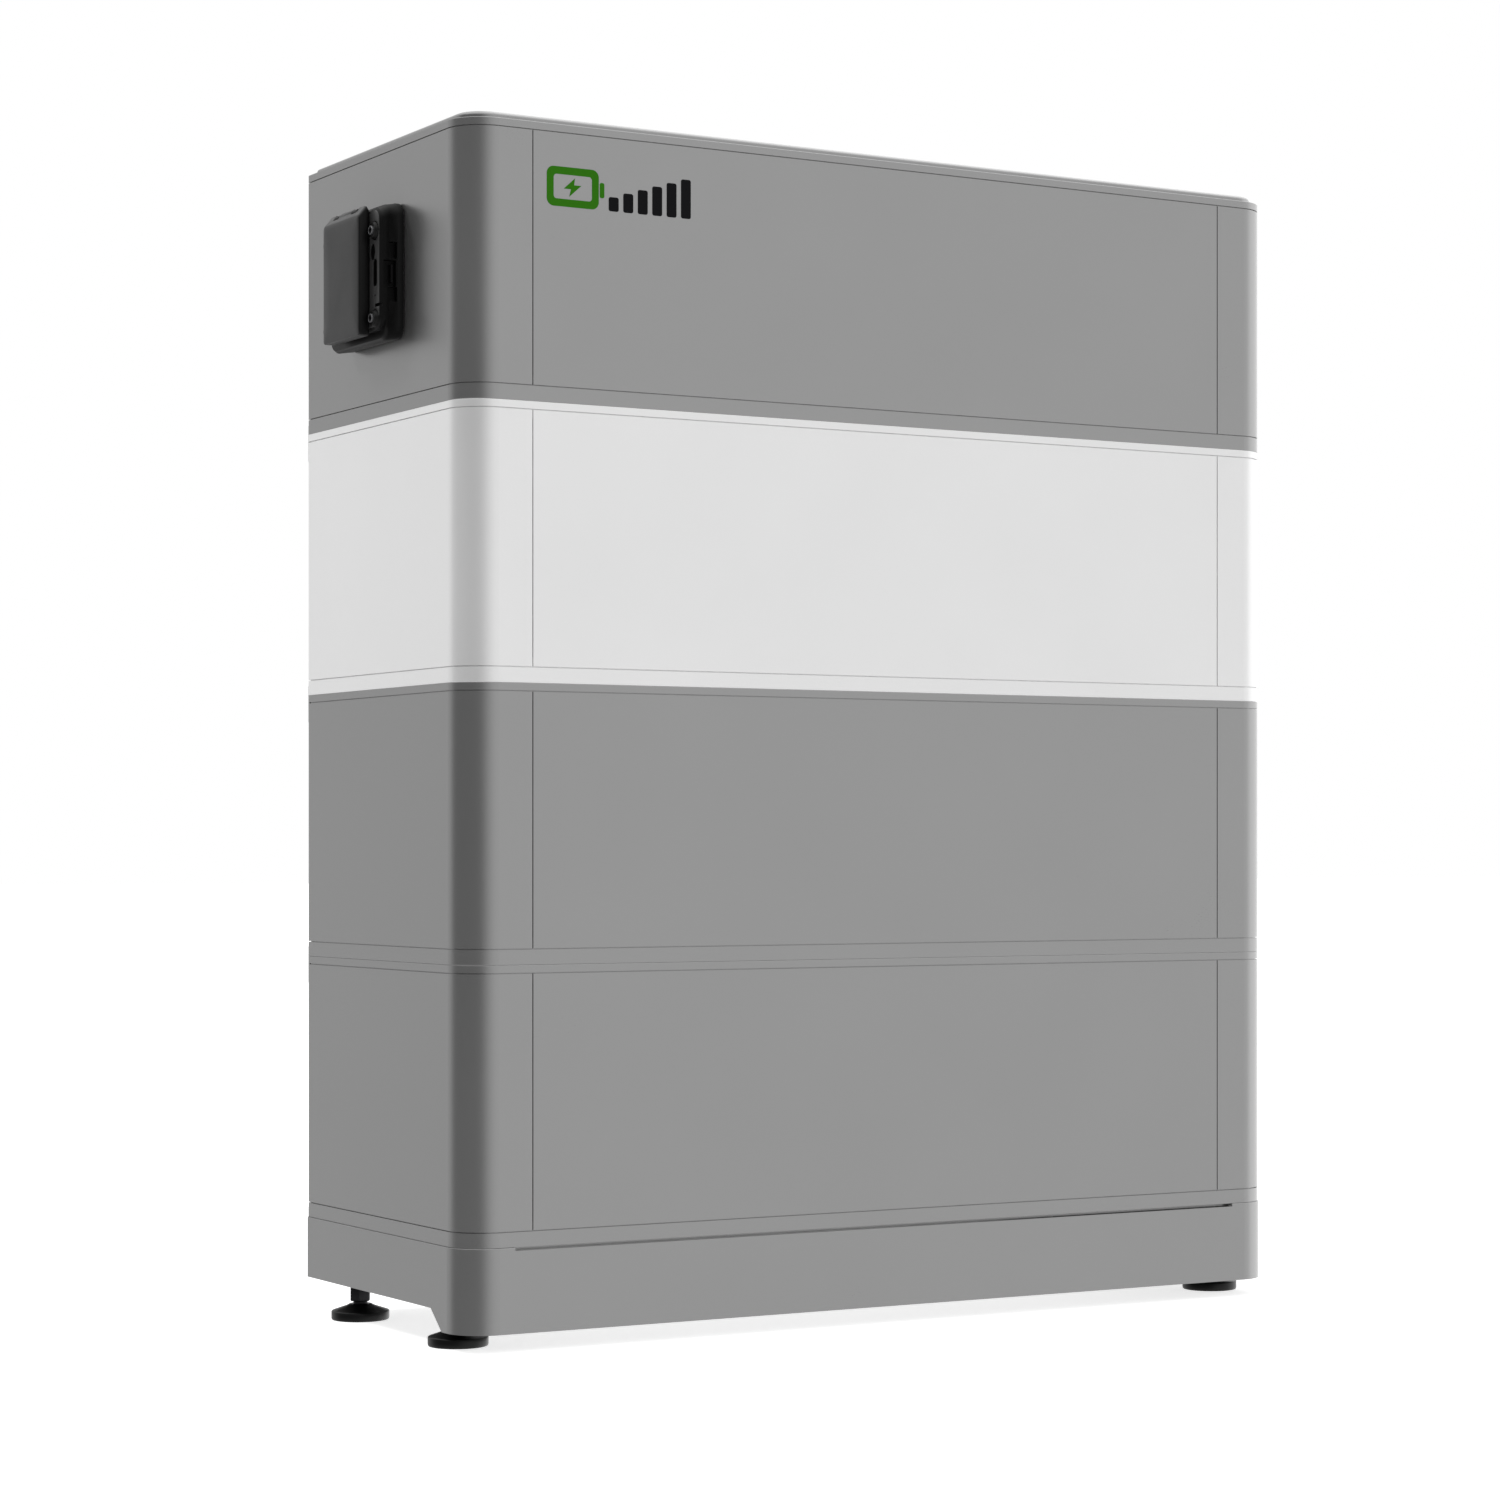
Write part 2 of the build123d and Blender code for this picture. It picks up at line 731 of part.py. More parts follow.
def cell_clamps():
    """End plates joined by straps that hold each row of cells under pressure."""
    middle_x = pack_start + pack_length / 2
    end_x = pack_length / 2 + clamp_plate / 2
    strap_y = cell_depth / 2 + clamp_gap + strap_thickness / 2
    strap_length = pack_length + 2 * clamp_plate
    with BuildPart() as clamps:
        for base in module_bases:
            floor = base + tray_floor
            with Locations((middle_x - end_x, 0, floor + cell_height / 2),
                           (middle_x + end_x, 0, floor + cell_height / 2)):
                Box(clamp_plate, 2 * strap_y, cell_height)
            for y in (-strap_y, strap_y):
                for z in (-strap_spacing / 2, strap_spacing / 2):
                    with Locations((middle_x, y, floor + cell_height / 2 + z)):
                        Box(strap_length, strap_thickness, strap_height)
    return clamps.part


def busbars():
    """Links that join neighbouring cells in series, alternately at the front and the back."""
    with BuildPart() as bars:
        for base in module_bases:
            with BuildSketch(Plane.XY.offset(base + tray_floor + cell_height + terminal_height)):
                for n in range(cell_count - 1):
                    y = terminal_y if n % 2 else -terminal_y
                    with Locations(((cell_xs[n] + cell_xs[n + 1]) / 2, y)):
                        SlotOverall(cell_pitch + busbar_width - 1, busbar_width)
            extrude(amount=busbar_thickness)
    return bars.part


def bms_boards():
    """Upright management boards beside the cells, on stand-offs from the clamp's end plate."""
    plate_x = pack_start + pack_length + clamp_plate
    board_x = plate_x + board_gap
    relay = (14.0, 30.0, 26.0)
    shunt = (6.0, 46.0, 10.0)
    header = (7.0, 24.0, 8.0)
    with BuildPart() as boards:
        for base in module_bases:
            middle_z = base + tray_floor + board_lift + board_height / 2
            with Locations((board_x + board_thickness / 2, 0, middle_z)):
                Box(board_thickness, board_depth, board_height)
            face = Plane(origin=(plate_x, 0, middle_z), x_dir=(0, 1, 0), z_dir=(1, 0, 0))
            with BuildSketch(face):
                with GridLocations(board_depth - 2 * board_margin, board_height - 2 * board_margin, 2, 2):
                    Circle(standoff_radius)
            extrude(amount=board_gap)
            outer_x = board_x + board_thickness
            for size, y, z in ((relay, -38, 20), (relay, 0, 20), (shunt, -20, -14), (header, 38, 28),
                               (header, 38, -6), (header, -36, -34)):
                with Locations((outer_x + size[0] / 2, y, middle_z + z)):
                    Box(*size)
    return boards.part


# ------------------------------------------------------------------- inside and behind the control
sink_z = housing_z


def control_rear_panel():
    """Rear panel of the control unit, with the window that lets the heat sink's fins breathe."""
    with BuildPart() as sheet:
        add(panel(1, control_base, control_top, lid_height, rear_column_width))
        with BuildSketch(Plane(origin=(0, rear_y, sink_z), x_dir=(-1, 0, 0), z_dir=(0, 1, 0))):
            RectangleRounded(sink_length - 2 * sink_frame, sink_height - 2 * sink_frame, 4)
        extrude(amount=-2 * shell_wall, mode=Mode.SUBTRACT)
    return sheet.part


def heat_sink():
    """Finned aluminium block that closes the rear window from the inside."""
    inner_y = rear_y - shell_wall
    base_y = inner_y - sink_depth
    count = int((sink_length - 2 * sink_frame - fin_pitch) // fin_pitch)
    behind = Plane(origin=(0, base_y, sink_z), x_dir=(-1, 0, 0), z_dir=(0, 1, 0))
    with BuildPart() as sink:
        with BuildSketch(behind):
            Rectangle(sink_length, sink_height)
        extrude(amount=sink_depth)
        with BuildSketch(behind.offset(sink_base)):
            RectangleRounded(sink_length - 2 * sink_frame, sink_height - 2 * sink_frame, 4)
        extrude(amount=sink_depth, mode=Mode.SUBTRACT)
        with BuildSketch(behind.offset(sink_base)):
            with GridLocations(fin_pitch, 1, count, 1):
                Rectangle(fin_thickness, sink_height - 2 * sink_frame)
        extrude(amount=sink_depth - sink_base + shell_wall - fin_set_back)
    return sink.part


def power_board():
    """Horizontal converter board between the breaker, the socket, the front and the heat sink."""
    floor = control_base + tray_floor
    left = -side_x + breaker_depth + breaker_bracket_thickness + power_board_left_gap
    right = connector_x - socket_length / 2 - power_board_right_gap
    front = front_y + shell_wall + power_board_front_gap
    rear = rear_y - shell_wall - sink_depth - power_board_rear_gap
    middle = ((left + right) / 2, (front + rear) / 2)
    with BuildPart() as board:
        with BuildSketch(Plane.XY.offset(floor)):
            with Locations(middle):
                with GridLocations(right - left - 2 * board_margin, rear - front - 2 * board_margin, 2, 2):
                    Circle(standoff_radius)
        extrude(amount=power_board_lift)
        with BuildSketch(Plane.XY.offset(floor + power_board_lift)):
            with Locations(middle):
                Rectangle(right - left, rear - front)
        extrude(amount=board_thickness)
    return board.part


def power_parts():
    """Inductors, link capacitors and contactors that stand on the converter board."""
    deck = Plane.XY.offset(control_base + tray_floor + power_board_lift + board_thickness)
    with BuildPart() as parts:
        with BuildSketch(deck):
            with GridLocations(80, 1, 3, 1):
                Circle(34)
                Circle(13, mode=Mode.SUBTRACT)
        extrude(amount=38)
        with BuildSketch(deck):
            with Locations((150, 0)):
                with GridLocations(38, 38, 2, 4):
                    Circle(15)
        extrude(amount=52)
        with BuildSketch(deck):
            with Locations((-160, -45), (-160, 45)):
                RectangleRounded(60, 56, 4)
        extrude(amount=58)
    return parts.part


# ------------------------------------------------------------------------------- breaker housing
flange_rise = gasket_thickness + base_layer + groove_layer + flange_layer
cover_y = -cover_drop


def control_left_end():
    """Left end shell of the control unit, pierced for the breaker and its housing."""
    with BuildPart() as end:
        add(end_shell(-1, control_base, control_top, lid_height, joint_screws=False))
        with BuildSketch(left_side):
            Rectangle(breaker_length + 2 * mate_clearance, breaker_nose_height + 2 * mate_clearance)
            with GridLocations(2 * housing_bolt_x, 2 * housing_bolt_y, 2, 2):
                Circle(bolt_shank_radius)
        extrude(amount=-2 * shell_wall, mode=Mode.SUBTRACT)
        add_bracket_holes(-1)
    return end.part


def add_bracket_holes(side):
    """Two holes in the rear column of the open end shell, for the wall bracket."""
    x = side * (side_x - bracket_hole_from_side)
    spread = bracket_hole_spacing / 2
    with Locations((x, rear_y, housing_z - spread), (x, rear_y, housing_z + spread)):
        Cylinder(bracket_hole_radius, 4 * shell_wall, rotation=(90, 0, 0), mode=Mode.SUBTRACT)


def breaker_gasket():
    """Flat rubber seal between the case and the breaker housing."""
    with BuildPart() as gasket:
        with BuildSketch(left_side):
            RectangleRounded(housing_length - 2 * gasket_inset, housing_height - 2 * gasket_inset,
                             housing_corner - gasket_inset)
            RectangleRounded(window_length + 4, window_height + 4, 2, mode=Mode.SUBTRACT)
            with GridLocations(2 * housing_bolt_x, 2 * housing_bolt_y, 2, 2):
                Circle(bolt_shank_radius, mode=Mode.SUBTRACT)
        extrude(amount=gasket_thickness)
    return gasket.part


def breaker_frame():
    """Moulded housing round the breaker: three layers, a pocket, catch plates and hinge lugs."""
    groove = gasket_thickness + base_layer
    catch_x = housing_length / 2 - catch_plate_width / 2 - 0.5
    lug_x = cover_knuckle_length / 2 + knuckle_gap + frame_knuckle_length / 2
    with BuildPart() as frame:
        with BuildSketch(left_side.offset(gasket_thickness)):
            RectangleRounded(housing_length, housing_height, housing_corner)
        extrude(amount=base_layer)
        with BuildSketch(left_side.offset(groove)):
            RectangleRounded(housing_length - 2 * groove_inset, housing_height - 2 * groove_inset,
                             housing_corner - groove_inset)
        extrude(amount=groove_layer)
        with BuildSketch(left_side.offset(groove + groove_layer)):
            RectangleRounded(housing_length - 1, housing_height - 1, housing_corner - 0.5)
        extrude(amount=flange_layer)
        fillet(frame.faces().sort_by(Axis.X)[0].edges(), flange_edge_radius)
        with BuildSketch(left_side.offset(flange_rise)):
            RectangleRounded(pocket_length + 2 * collar_wall, pocket_height + 2 * collar_wall, 3)
        extrude(amount=collar_rise)
        with BuildSketch(left_side.offset(flange_rise)):
            with Locations((-catch_x, 0), (catch_x, 0)):
                RectangleRounded(catch_plate_width, catch_plate_height, 1.5)
        extrude(amount=catch_plate_rise)
        with BuildSketch(left_side.offset(pocket_floor)):
            RectangleRounded(pocket_length, pocket_height, 2)
        extrude(amount=flange_rise + collar_rise, mode=Mode.SUBTRACT)
        with BuildSketch(left_side):
            RectangleRounded(window_length, window_height, 1)
            with GridLocations(2 * housing_bolt_x, 2 * housing_bolt_y, 2, 2):
                Circle(bolt_shank_radius)
        extrude(amount=2 * flange_rise, mode=Mode.SUBTRACT)
        with BuildSketch(left_side.offset(flange_rise + catch_plate_rise)):
            add(catch_recesses(catch_x))
        extrude(amount=-catch_plate_rise * 0.7, mode=Mode.SUBTRACT)
        add_side_pockets(groove)
        for x in (-lug_x, lug_x):
            lug = hinge_section(left_side, x, frame_knuckle_length, flange_rise - 0.5)
            add(lug)
        add(hinge_bore(hinge_pin_radius), mode=Mode.SUBTRACT)
    return frame.part


def catch_recesses(catch_x):
    """Outline of the thumb recess, catch slot and drain hole in each catch plate."""
    with BuildSketch() as recesses:
        with Locations((-catch_x, 12.5), (catch_x, 12.5)):
            SlotOverall(10, 3.6, rotation=90)
        with Locations((-catch_x, 0), (catch_x, 0)):
            SlotOverall(14, 4.6, rotation=90)
        with Locations((-catch_x, -12.5), (catch_x, -12.5)):
            Circle(0.9)
    return recesses.sketch


def add_side_pockets(groove):
    """Three catch pockets in the groove on each side of the open housing."""
    side = housing_length / 2 - groove_inset
    middle_rise = groove + groove_layer / 2
    for sign in (-1, 1):
        face = left_side.offset(middle_rise).location * Location((sign * side, 0, 0))
        for y, height in ((-16, 11), (0, 16), (16, 11)):
            with Locations(face * Location((0, y, 0))):
                Box(2 * side_pocket_depth, height, groove_layer - 1.5, mode=Mode.SUBTRACT)


def hinge_section(plane, x, length, foot):
    """One hinge knuckle with the web that carries it down to the height called foot."""
    side_view = Plane(
        origin=(plane * Location((x - length / 2, hinge_y, hinge_rise))).position,
        x_dir=(0, 0, 1),
        z_dir=(0, -1, 0),
    )
    with BuildPart(mode=Mode.PRIVATE) as knuckle:
        with BuildSketch(side_view):
            Circle(knuckle_radius)
            with Locations((0, -(hinge_rise - foot) / 2)):
                Rectangle(2 * knuckle_radius, hinge_rise - foot)
        extrude(amount=length)
    return knuckle.part


def hinge_bore(radius):
    """Rod along the flap's hinge axis, for its pin and the bores."""
    length = cover_knuckle_length + 2 * (knuckle_gap + frame_knuckle_length)
    start = (left_side * Location((-length / 2, hinge_y, hinge_rise))).position
    with BuildPart(mode=Mode.PRIVATE) as rod:
        with BuildSketch(Plane(origin=start, z_dir=(0, -1, 0))):
            Circle(radius)
        extrude(amount=length)
    return rod.part


def breaker_cover():
    """Flap over the breaker: a shallow moulded shell with a finger tab and a hinge knuckle."""
    back = flange_rise + cover_gap
    top_y = cover_y + cover_height / 2
    side_view = Plane(
        origin=(left_side * Location((-cover_knuckle_length / 2, 0, 0))).position,
        x_dir=(0, 0, 1),
        z_dir=(0, -1, 0),
    )
    with BuildPart() as cover:
        with BuildSketch(left_side.offset(back)):
            with Locations((0, cover_y)):
                RectangleRounded(cover_length, cover_height, 3)
        extrude(amount=cover_rise - back)
        fillet(cover.faces().sort_by(Axis.X)[0].edges(), cover_edge_radius)
        with BuildSketch(left_side.offset(back)):
            with Locations((0, cover_y)):
                RectangleRounded(cover_length - 2 * cover_wall, cover_height - 2 * cover_wall, 1.5)
        extrude(amount=cover_rise - back - cover_wall, mode=Mode.SUBTRACT)
        with BuildSketch(left_side.offset(back)):
            with Locations((0, cover_y - cover_height / 2 - tab_depth / 2 + 0.5)):
                RectangleRounded(tab_length, tab_depth + 1, 1.2)
        extrude(amount=tab_thickness)
        with BuildSketch(side_view):
            with Locations((hinge_y, hinge_rise)):
                Circle(knuckle_radius)
            with Locations(((hinge_y + top_y - cover_wall) / 2, hinge_rise)):
                Rectangle(hinge_y - top_y + cover_wall, knuckle_radius)
        extrude(amount=cover_knuckle_length)
        add(hinge_bore(hinge_pin_radius + running_clearance), mode=Mode.SUBTRACT)
    return cover.part


def breaker_bolts():
    """Socket-head screws with washers that hold the breaker housing to the case."""
    shank = flange_rise + 2 * shell_wall
    with BuildPart() as bolt:
        Cylinder(washer_radius, washer_thickness, align=(Align.CENTER, Align.CENTER, Align.MIN))
        with Locations((0, 0, washer_thickness)):
            Cylinder(bolt_head_radius, bolt_head_height, align=(Align.CENTER, Align.CENTER, Align.MIN))
        chamfer(bolt.faces().sort_by(Axis.Z)[-1].edges(), 0.4)
        with BuildSketch(Plane.XY.offset(washer_thickness + bolt_head_height)):
            RegularPolygon(bolt_socket_radius, 6)
        extrude(amount=-bolt_socket_depth, mode=Mode.SUBTRACT)
        Cylinder(bolt_shank_radius, shank, align=(Align.CENTER, Align.CENTER, Align.MAX))
    seat = left_side.offset(flange_rise)
    with BuildPart() as bolts:
        for x in (-housing_bolt_x, housing_bolt_x):
            for y in (-housing_bolt_y, housing_bolt_y):
                add(seat * Location((x, y, 0)) * bolt.part)
    return bolts.part


toggle_axis = (left_side * Location((0, 0, toggle_axis_rise))).position
toggle_slot_height = 2 * (toggle_reach * sin(radians(toggle_rest_angle)) + toggle_thickness)


def breaker_body():
    """Two-pole breaker on its rail bracket, with a slot for the toggle and its pivot stubs."""
    pole_gap = 0.8
    floor = control_base + tray_floor
    post_top = housing_z + breaker_bracket_rise
    post_x = -side_x + breaker_depth + breaker_bracket_thickness / 2
    cavity_length = toggle_length + 2 * toggle_clearance
    with BuildPart() as body:
        with BuildSketch(left_side.offset(-breaker_depth)):
            RectangleRounded(breaker_length, breaker_body_height, 1)
        extrude(amount=breaker_depth - breaker_shoulder)
        with BuildSketch(left_side.offset(-breaker_shoulder)):
            RectangleRounded(breaker_length, breaker_nose_height, 1)
        extrude(amount=breaker_shoulder + breaker_nose_rise)
        with BuildSketch(left_side.offset(breaker_nose_rise)):
            Rectangle(cavity_length, toggle_slot_height)
        extrude(amount=-(breaker_nose_rise - toggle_axis_rise + toggle_hub_radius + toggle_clearance),
                mode=Mode.SUBTRACT)
        with BuildSketch(left_side.offset(breaker_nose_rise)):
            with Locations((0, (breaker_nose_height + toggle_slot_height) / 4),
                           (0, -(breaker_nose_height + toggle_slot_height) / 4)):
                Rectangle(pole_gap, (breaker_nose_height - toggle_slot_height) / 2)
        extrude(amount=-1, mode=Mode.SUBTRACT)
        stub_start = Plane(origin=toggle_axis, z_dir=(0, -1, 0))
        with BuildSketch(stub_start.offset(-cavity_length / 2)):
            Circle(toggle_pin_radius)
        extrude(amount=cavity_length)
        with Locations((post_x, housing_y, (floor + post_top) / 2)):
            Box(breaker_bracket_thickness, breaker_bracket_width, post_top - floor)
    return body.part


def breaker_toggle():
    """Toggle bar across both poles, standing tilted up in its switched-on position."""
    pivot = Plane(origin=toggle_axis, x_dir=(-1, 0, 0), z_dir=(0, 1, 0))
    tilt = radians(toggle_rest_angle)
    tip = (toggle_reach * cos(tilt), toggle_reach * sin(tilt))
    with BuildPart() as toggle:
        with BuildSketch(pivot.offset(-toggle_length / 2)):
            Circle(toggle_hub_radius)
            with Locations(Location((tip[0] / 2, tip[1] / 2), toggle_rest_angle)):
                Rectangle(toggle_reach, toggle_thickness)
            Circle(toggle_pin_radius + running_clearance, mode=Mode.SUBTRACT)
        extrude(amount=toggle_length)
    return toggle.part


# ------------------------------------------------------------------------------------ cable side
def control_right_end():
    """Right end shell of the control unit, pierced for the cable fittings and the button."""
    holes = [(receptacle_tail_radius, receptacle_positions), (gland_thread_radius, [gland_position]),
             (earth_stud_radius, [earth_position]), (button_barrel_radius, [button_position])]
    with BuildPart() as end:
        add(end_shell(1, control_base, control_top, lid_height, joint_screws=False))
        with BuildSketch(right_side):
            for radius, places in holes:
                with Locations(*places):
                    Circle(radius)
        extrude(amount=-2 * shell_wall, mode=Mode.SUBTRACT)
        add_bracket_holes(1)
    return end.part


def dc_receptacles():
    """Positive and negative panel receptacles: nut, barrel, contact pin and rear tail."""
    with BuildPart() as parts:
        with BuildSketch(right_side):
            with Locations(*receptacle_positions):
                RegularPolygon(receptacle_nut_flats / 2, 6, major_radius=False)
        extrude(amount=receptacle_nut_thickness)
        with BuildSketch(right_side):
            with Locations(*receptacle_positions):
                Circle(receptacle_radius)
        extrude(amount=receptacle_reach)
        with BuildSketch(right_side.offset(receptacle_reach)):
            with Locations(*receptacle_positions):
                Circle(receptacle_bore_radius)
                Circle(receptacle_pin_radius, mode=Mode.SUBTRACT)
        extrude(amount=-receptacle_bore_depth, mode=Mode.SUBTRACT)
        with BuildSketch(right_side):
            with Locations(*receptacle_positions):
                Circle(receptacle_tail_radius)
        extrude(amount=-receptacle_tail)
    return parts.part


def comms_gland():
    """Cable gland for the data lead, closed with a blanking plug as delivered."""
    hex_thickness = 5.0
    plug_recess = 2.0
    with BuildPart() as gland:
        with BuildSketch(right_side):
            with Locations(gland_position):
                RegularPolygon(gland_flats / 2, 6, major_radius=False)
        extrude(amount=hex_thickness)
        with BuildSketch(right_side.offset(hex_thickness)):
            with Locations(gland_position):
                Circle(gland_nut_radius)
        extrude(amount=gland_reach - hex_thickness)
        outer = gland.faces().sort_by(Axis.X)[-1]
        fillet(outer.edges(), 4)
        with BuildSketch(right_side.offset(gland_reach)):
            with Locations(gland_position):
                Circle(4.5)
        extrude(amount=-plug_recess, mode=Mode.SUBTRACT)
        with BuildSketch(right_side):
            with Locations(gland_position):
                Circle(gland_thread_radius)
        extrude(amount=-3 * shell_wall)
    return gland.part


def earth_stud():
    """Earthing stud with its fixed nut and washer."""
    washer = 1.2
    with BuildPart() as stud:
        with BuildSketch(right_side):
            with Locations(earth_position):
                Circle(earth_nut_flats / 2 + 2)
        extrude(amount=washer)
        with BuildSketch(right_side.offset(washer)):
            with Locations(earth_position):
                RegularPolygon(earth_nut_flats / 2, 6, major_radius=False)
        extrude(amount=earth_nut_thickness)
        with BuildSketch(right_side.offset(-3 * shell_wall)):
            with Locations(earth_position):
                Circle(earth_stud_radius)
        extrude(amount=3 * shell_wall + earth_stud_reach)
        chamfer(stud.faces().sort_by(Axis.X)[-1].edges(), 0.5)
    return stud.part


def button_bezel():
    """Ring and barrel of the start button, with a stepped bore for the cap and its stem."""
    cap_bore = button_rise + button_travel
    floor = 2.0
    with BuildPart() as bezel:
        with BuildSketch(right_side):
            with Locations(button_position):
                Circle(bezel_radius)
        extrude(amount=bezel_rise)
        fillet(bezel.faces().sort_by(Axis.X)[-1].edges(), 1)
        with BuildSketch(right_side):
            with Locations(button_position):
                Circle(button_barrel_radius)
        extrude(amount=-button_barrel_depth)
        with BuildSketch(right_side.offset(bezel_rise)):
            with Locations(button_position):
                Circle(button_radius + running_clearance)
        extrude(amount=-(bezel_rise + cap_bore), mode=Mode.SUBTRACT)
        with BuildSketch(right_side.offset(-cap_bore)):
            with Locations(button_position):
                Circle(button_radius + button_collar + running_clearance)
        extrude(amount=button_travel + button_collar_height + axial_clearance, mode=Mode.SUBTRACT)
        with BuildSketch(right_side.offset(bezel_rise)):
            with Locations(button_position):
                Circle(button_stem_radius + running_clearance)
        extrude(amount=-(bezel_rise + button_barrel_depth - floor), mode=Mode.SUBTRACT)
    return bezel.part


def start_button():
    """Push cap of the start button with the stem that works the switch behind."""
    stem = button_barrel_depth - 2.0 - 2 * button_travel
    cap_back = -button_rise + axial_clearance
    with BuildPart() as button:
        with BuildSketch(right_side.offset(cap_back)):
            with Locations(button_position):
                Circle(button_radius)
        extrude(amount=button_rise - cap_back)
        fillet(button.faces().sort_by(Axis.X)[-1].edges(), 0.8)
        with BuildSketch(right_side.offset(cap_back)):
            with Locations(button_position):
                Circle(button_radius + button_collar)
        extrude(amount=button_collar_height - 2 * axial_clearance)
        with BuildSketch(right_side):
            with Locations(button_position):
                Circle(button_stem_radius)
        extrude(amount=-stem)
    return button.part


# ------------------------------------------------------------------------------------ write all
os.makedirs("parts", exist_ok=True)

save(plinth(), "base_plinth")
save(rails(), "base_rails")
for place, x, y in (("front_left", -foot_x, -foot_y), ("front_right", foot_x, -foot_y),
                    ("rear_left", -foot_x, foot_y), ("rear_right", foot_x, foot_y)):
    save(foot_pad(x, y), f"{place}_foot_pad")
    save(foot_stem(x, y), f"{place}_foot_stem")

for number, base in enumerate(module_bases, start=1):
    top = base + module_height
    save(bottom_tray(base), f"module_{number}_bottom_tray")
    save(top_tray(top), f"module_{number}_top_cover")
    save(end_shell(-1, base, top, top_rim_height), f"module_{number}_left_end")
    save(end_shell(1, base, top, top_rim_height), f"module_{number}_right_end")
    save(panel(-1, base, top, top_rim_height, front_column_width), f"module_{number}_front_panel")
    save(fluted_panel(base, top), f"module_{number}_rear_panel")
    save(cells(base), f"module_{number}_cells")

save(cell_clamps(), "cell_clamps")
save(busbars(), "cell_busbars")
save(bms_boards(), "module_boards")
save(Part() + [plug(z) for z in unit_bases], "stack_plugs")
save(Part() + [socket(z) for z in unit_bases], "stack_sockets")
save(locating_pins(), "locating_pins")
save(link_plates(), "rear_link_plates")
save(link_screws(), "link_plate_screws")

save(bottom_tray(control_base), "control_bottom_tray")
save(control_left_end(), "control_left_end")
save(control_right_end(), "control_right_end")
save(panel(-1, control_base, control_top, lid_height, front_column_width), "control_front_panel")
save(control_rear_panel(), "control_rear_panel")
save(heat_sink(), "control_heat_sink")
save(control_lid(), "control_lid")
save(power_board(), "control_power_board")
save(power_parts(), "control_power_parts")

save(breaker_gasket(), "breaker_gasket")
save(breaker_frame(), "breaker_frame")
save(breaker_cover(), "breaker_cover")
save(hinge_bore(hinge_pin_radius), "breaker_hinge_pin")
save(breaker_bolts(), "breaker_frame_bolts")
save(breaker_body(), "breaker_body")
save(breaker_toggle(), "breaker_toggle")

save(dc_receptacles(), "dc_receptacles")
save(comms_gland(), "comms_gland")
save(earth_stud(), "earth_stud")
save(button_bezel(), "button_bezel")
save(start_button(), "start_button")
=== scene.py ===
"""Looks of a floor-standing home battery stack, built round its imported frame.

The stack is a control unit on three battery modules and a plinth with levelling feet. The
painted cases come from the frame and get their finishes here. The breaker housing, the feet,
the screws, the ribbed nuts and the charge mark are modelled here, on the frame's bodies.
"""

import logging
import math
from dataclasses import dataclass, field
from enum import Enum
from typing import Iterable, Optional, Sequence, Union

import bmesh
import bpy
from mathutils import Matrix, Vector


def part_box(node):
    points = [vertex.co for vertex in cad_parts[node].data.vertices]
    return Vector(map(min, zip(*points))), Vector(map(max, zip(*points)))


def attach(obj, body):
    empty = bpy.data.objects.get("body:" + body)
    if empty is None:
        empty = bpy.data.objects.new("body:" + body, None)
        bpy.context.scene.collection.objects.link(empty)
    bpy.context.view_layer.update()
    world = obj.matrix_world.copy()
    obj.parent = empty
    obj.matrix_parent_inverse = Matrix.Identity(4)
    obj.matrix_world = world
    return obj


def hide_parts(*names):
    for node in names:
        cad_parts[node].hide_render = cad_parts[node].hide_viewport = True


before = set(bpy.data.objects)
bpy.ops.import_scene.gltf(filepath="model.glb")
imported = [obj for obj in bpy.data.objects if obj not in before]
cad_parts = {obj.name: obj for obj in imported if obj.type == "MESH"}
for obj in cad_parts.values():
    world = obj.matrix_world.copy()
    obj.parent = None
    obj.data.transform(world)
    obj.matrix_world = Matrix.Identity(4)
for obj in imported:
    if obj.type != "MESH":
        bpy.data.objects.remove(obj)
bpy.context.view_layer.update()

log = logging.getLogger("battery_stack")

MM = 0.001
Colour = tuple[float, float, float]
Point = tuple[float, float, float]
Value = Union["Wire", float, Sequence[float]]


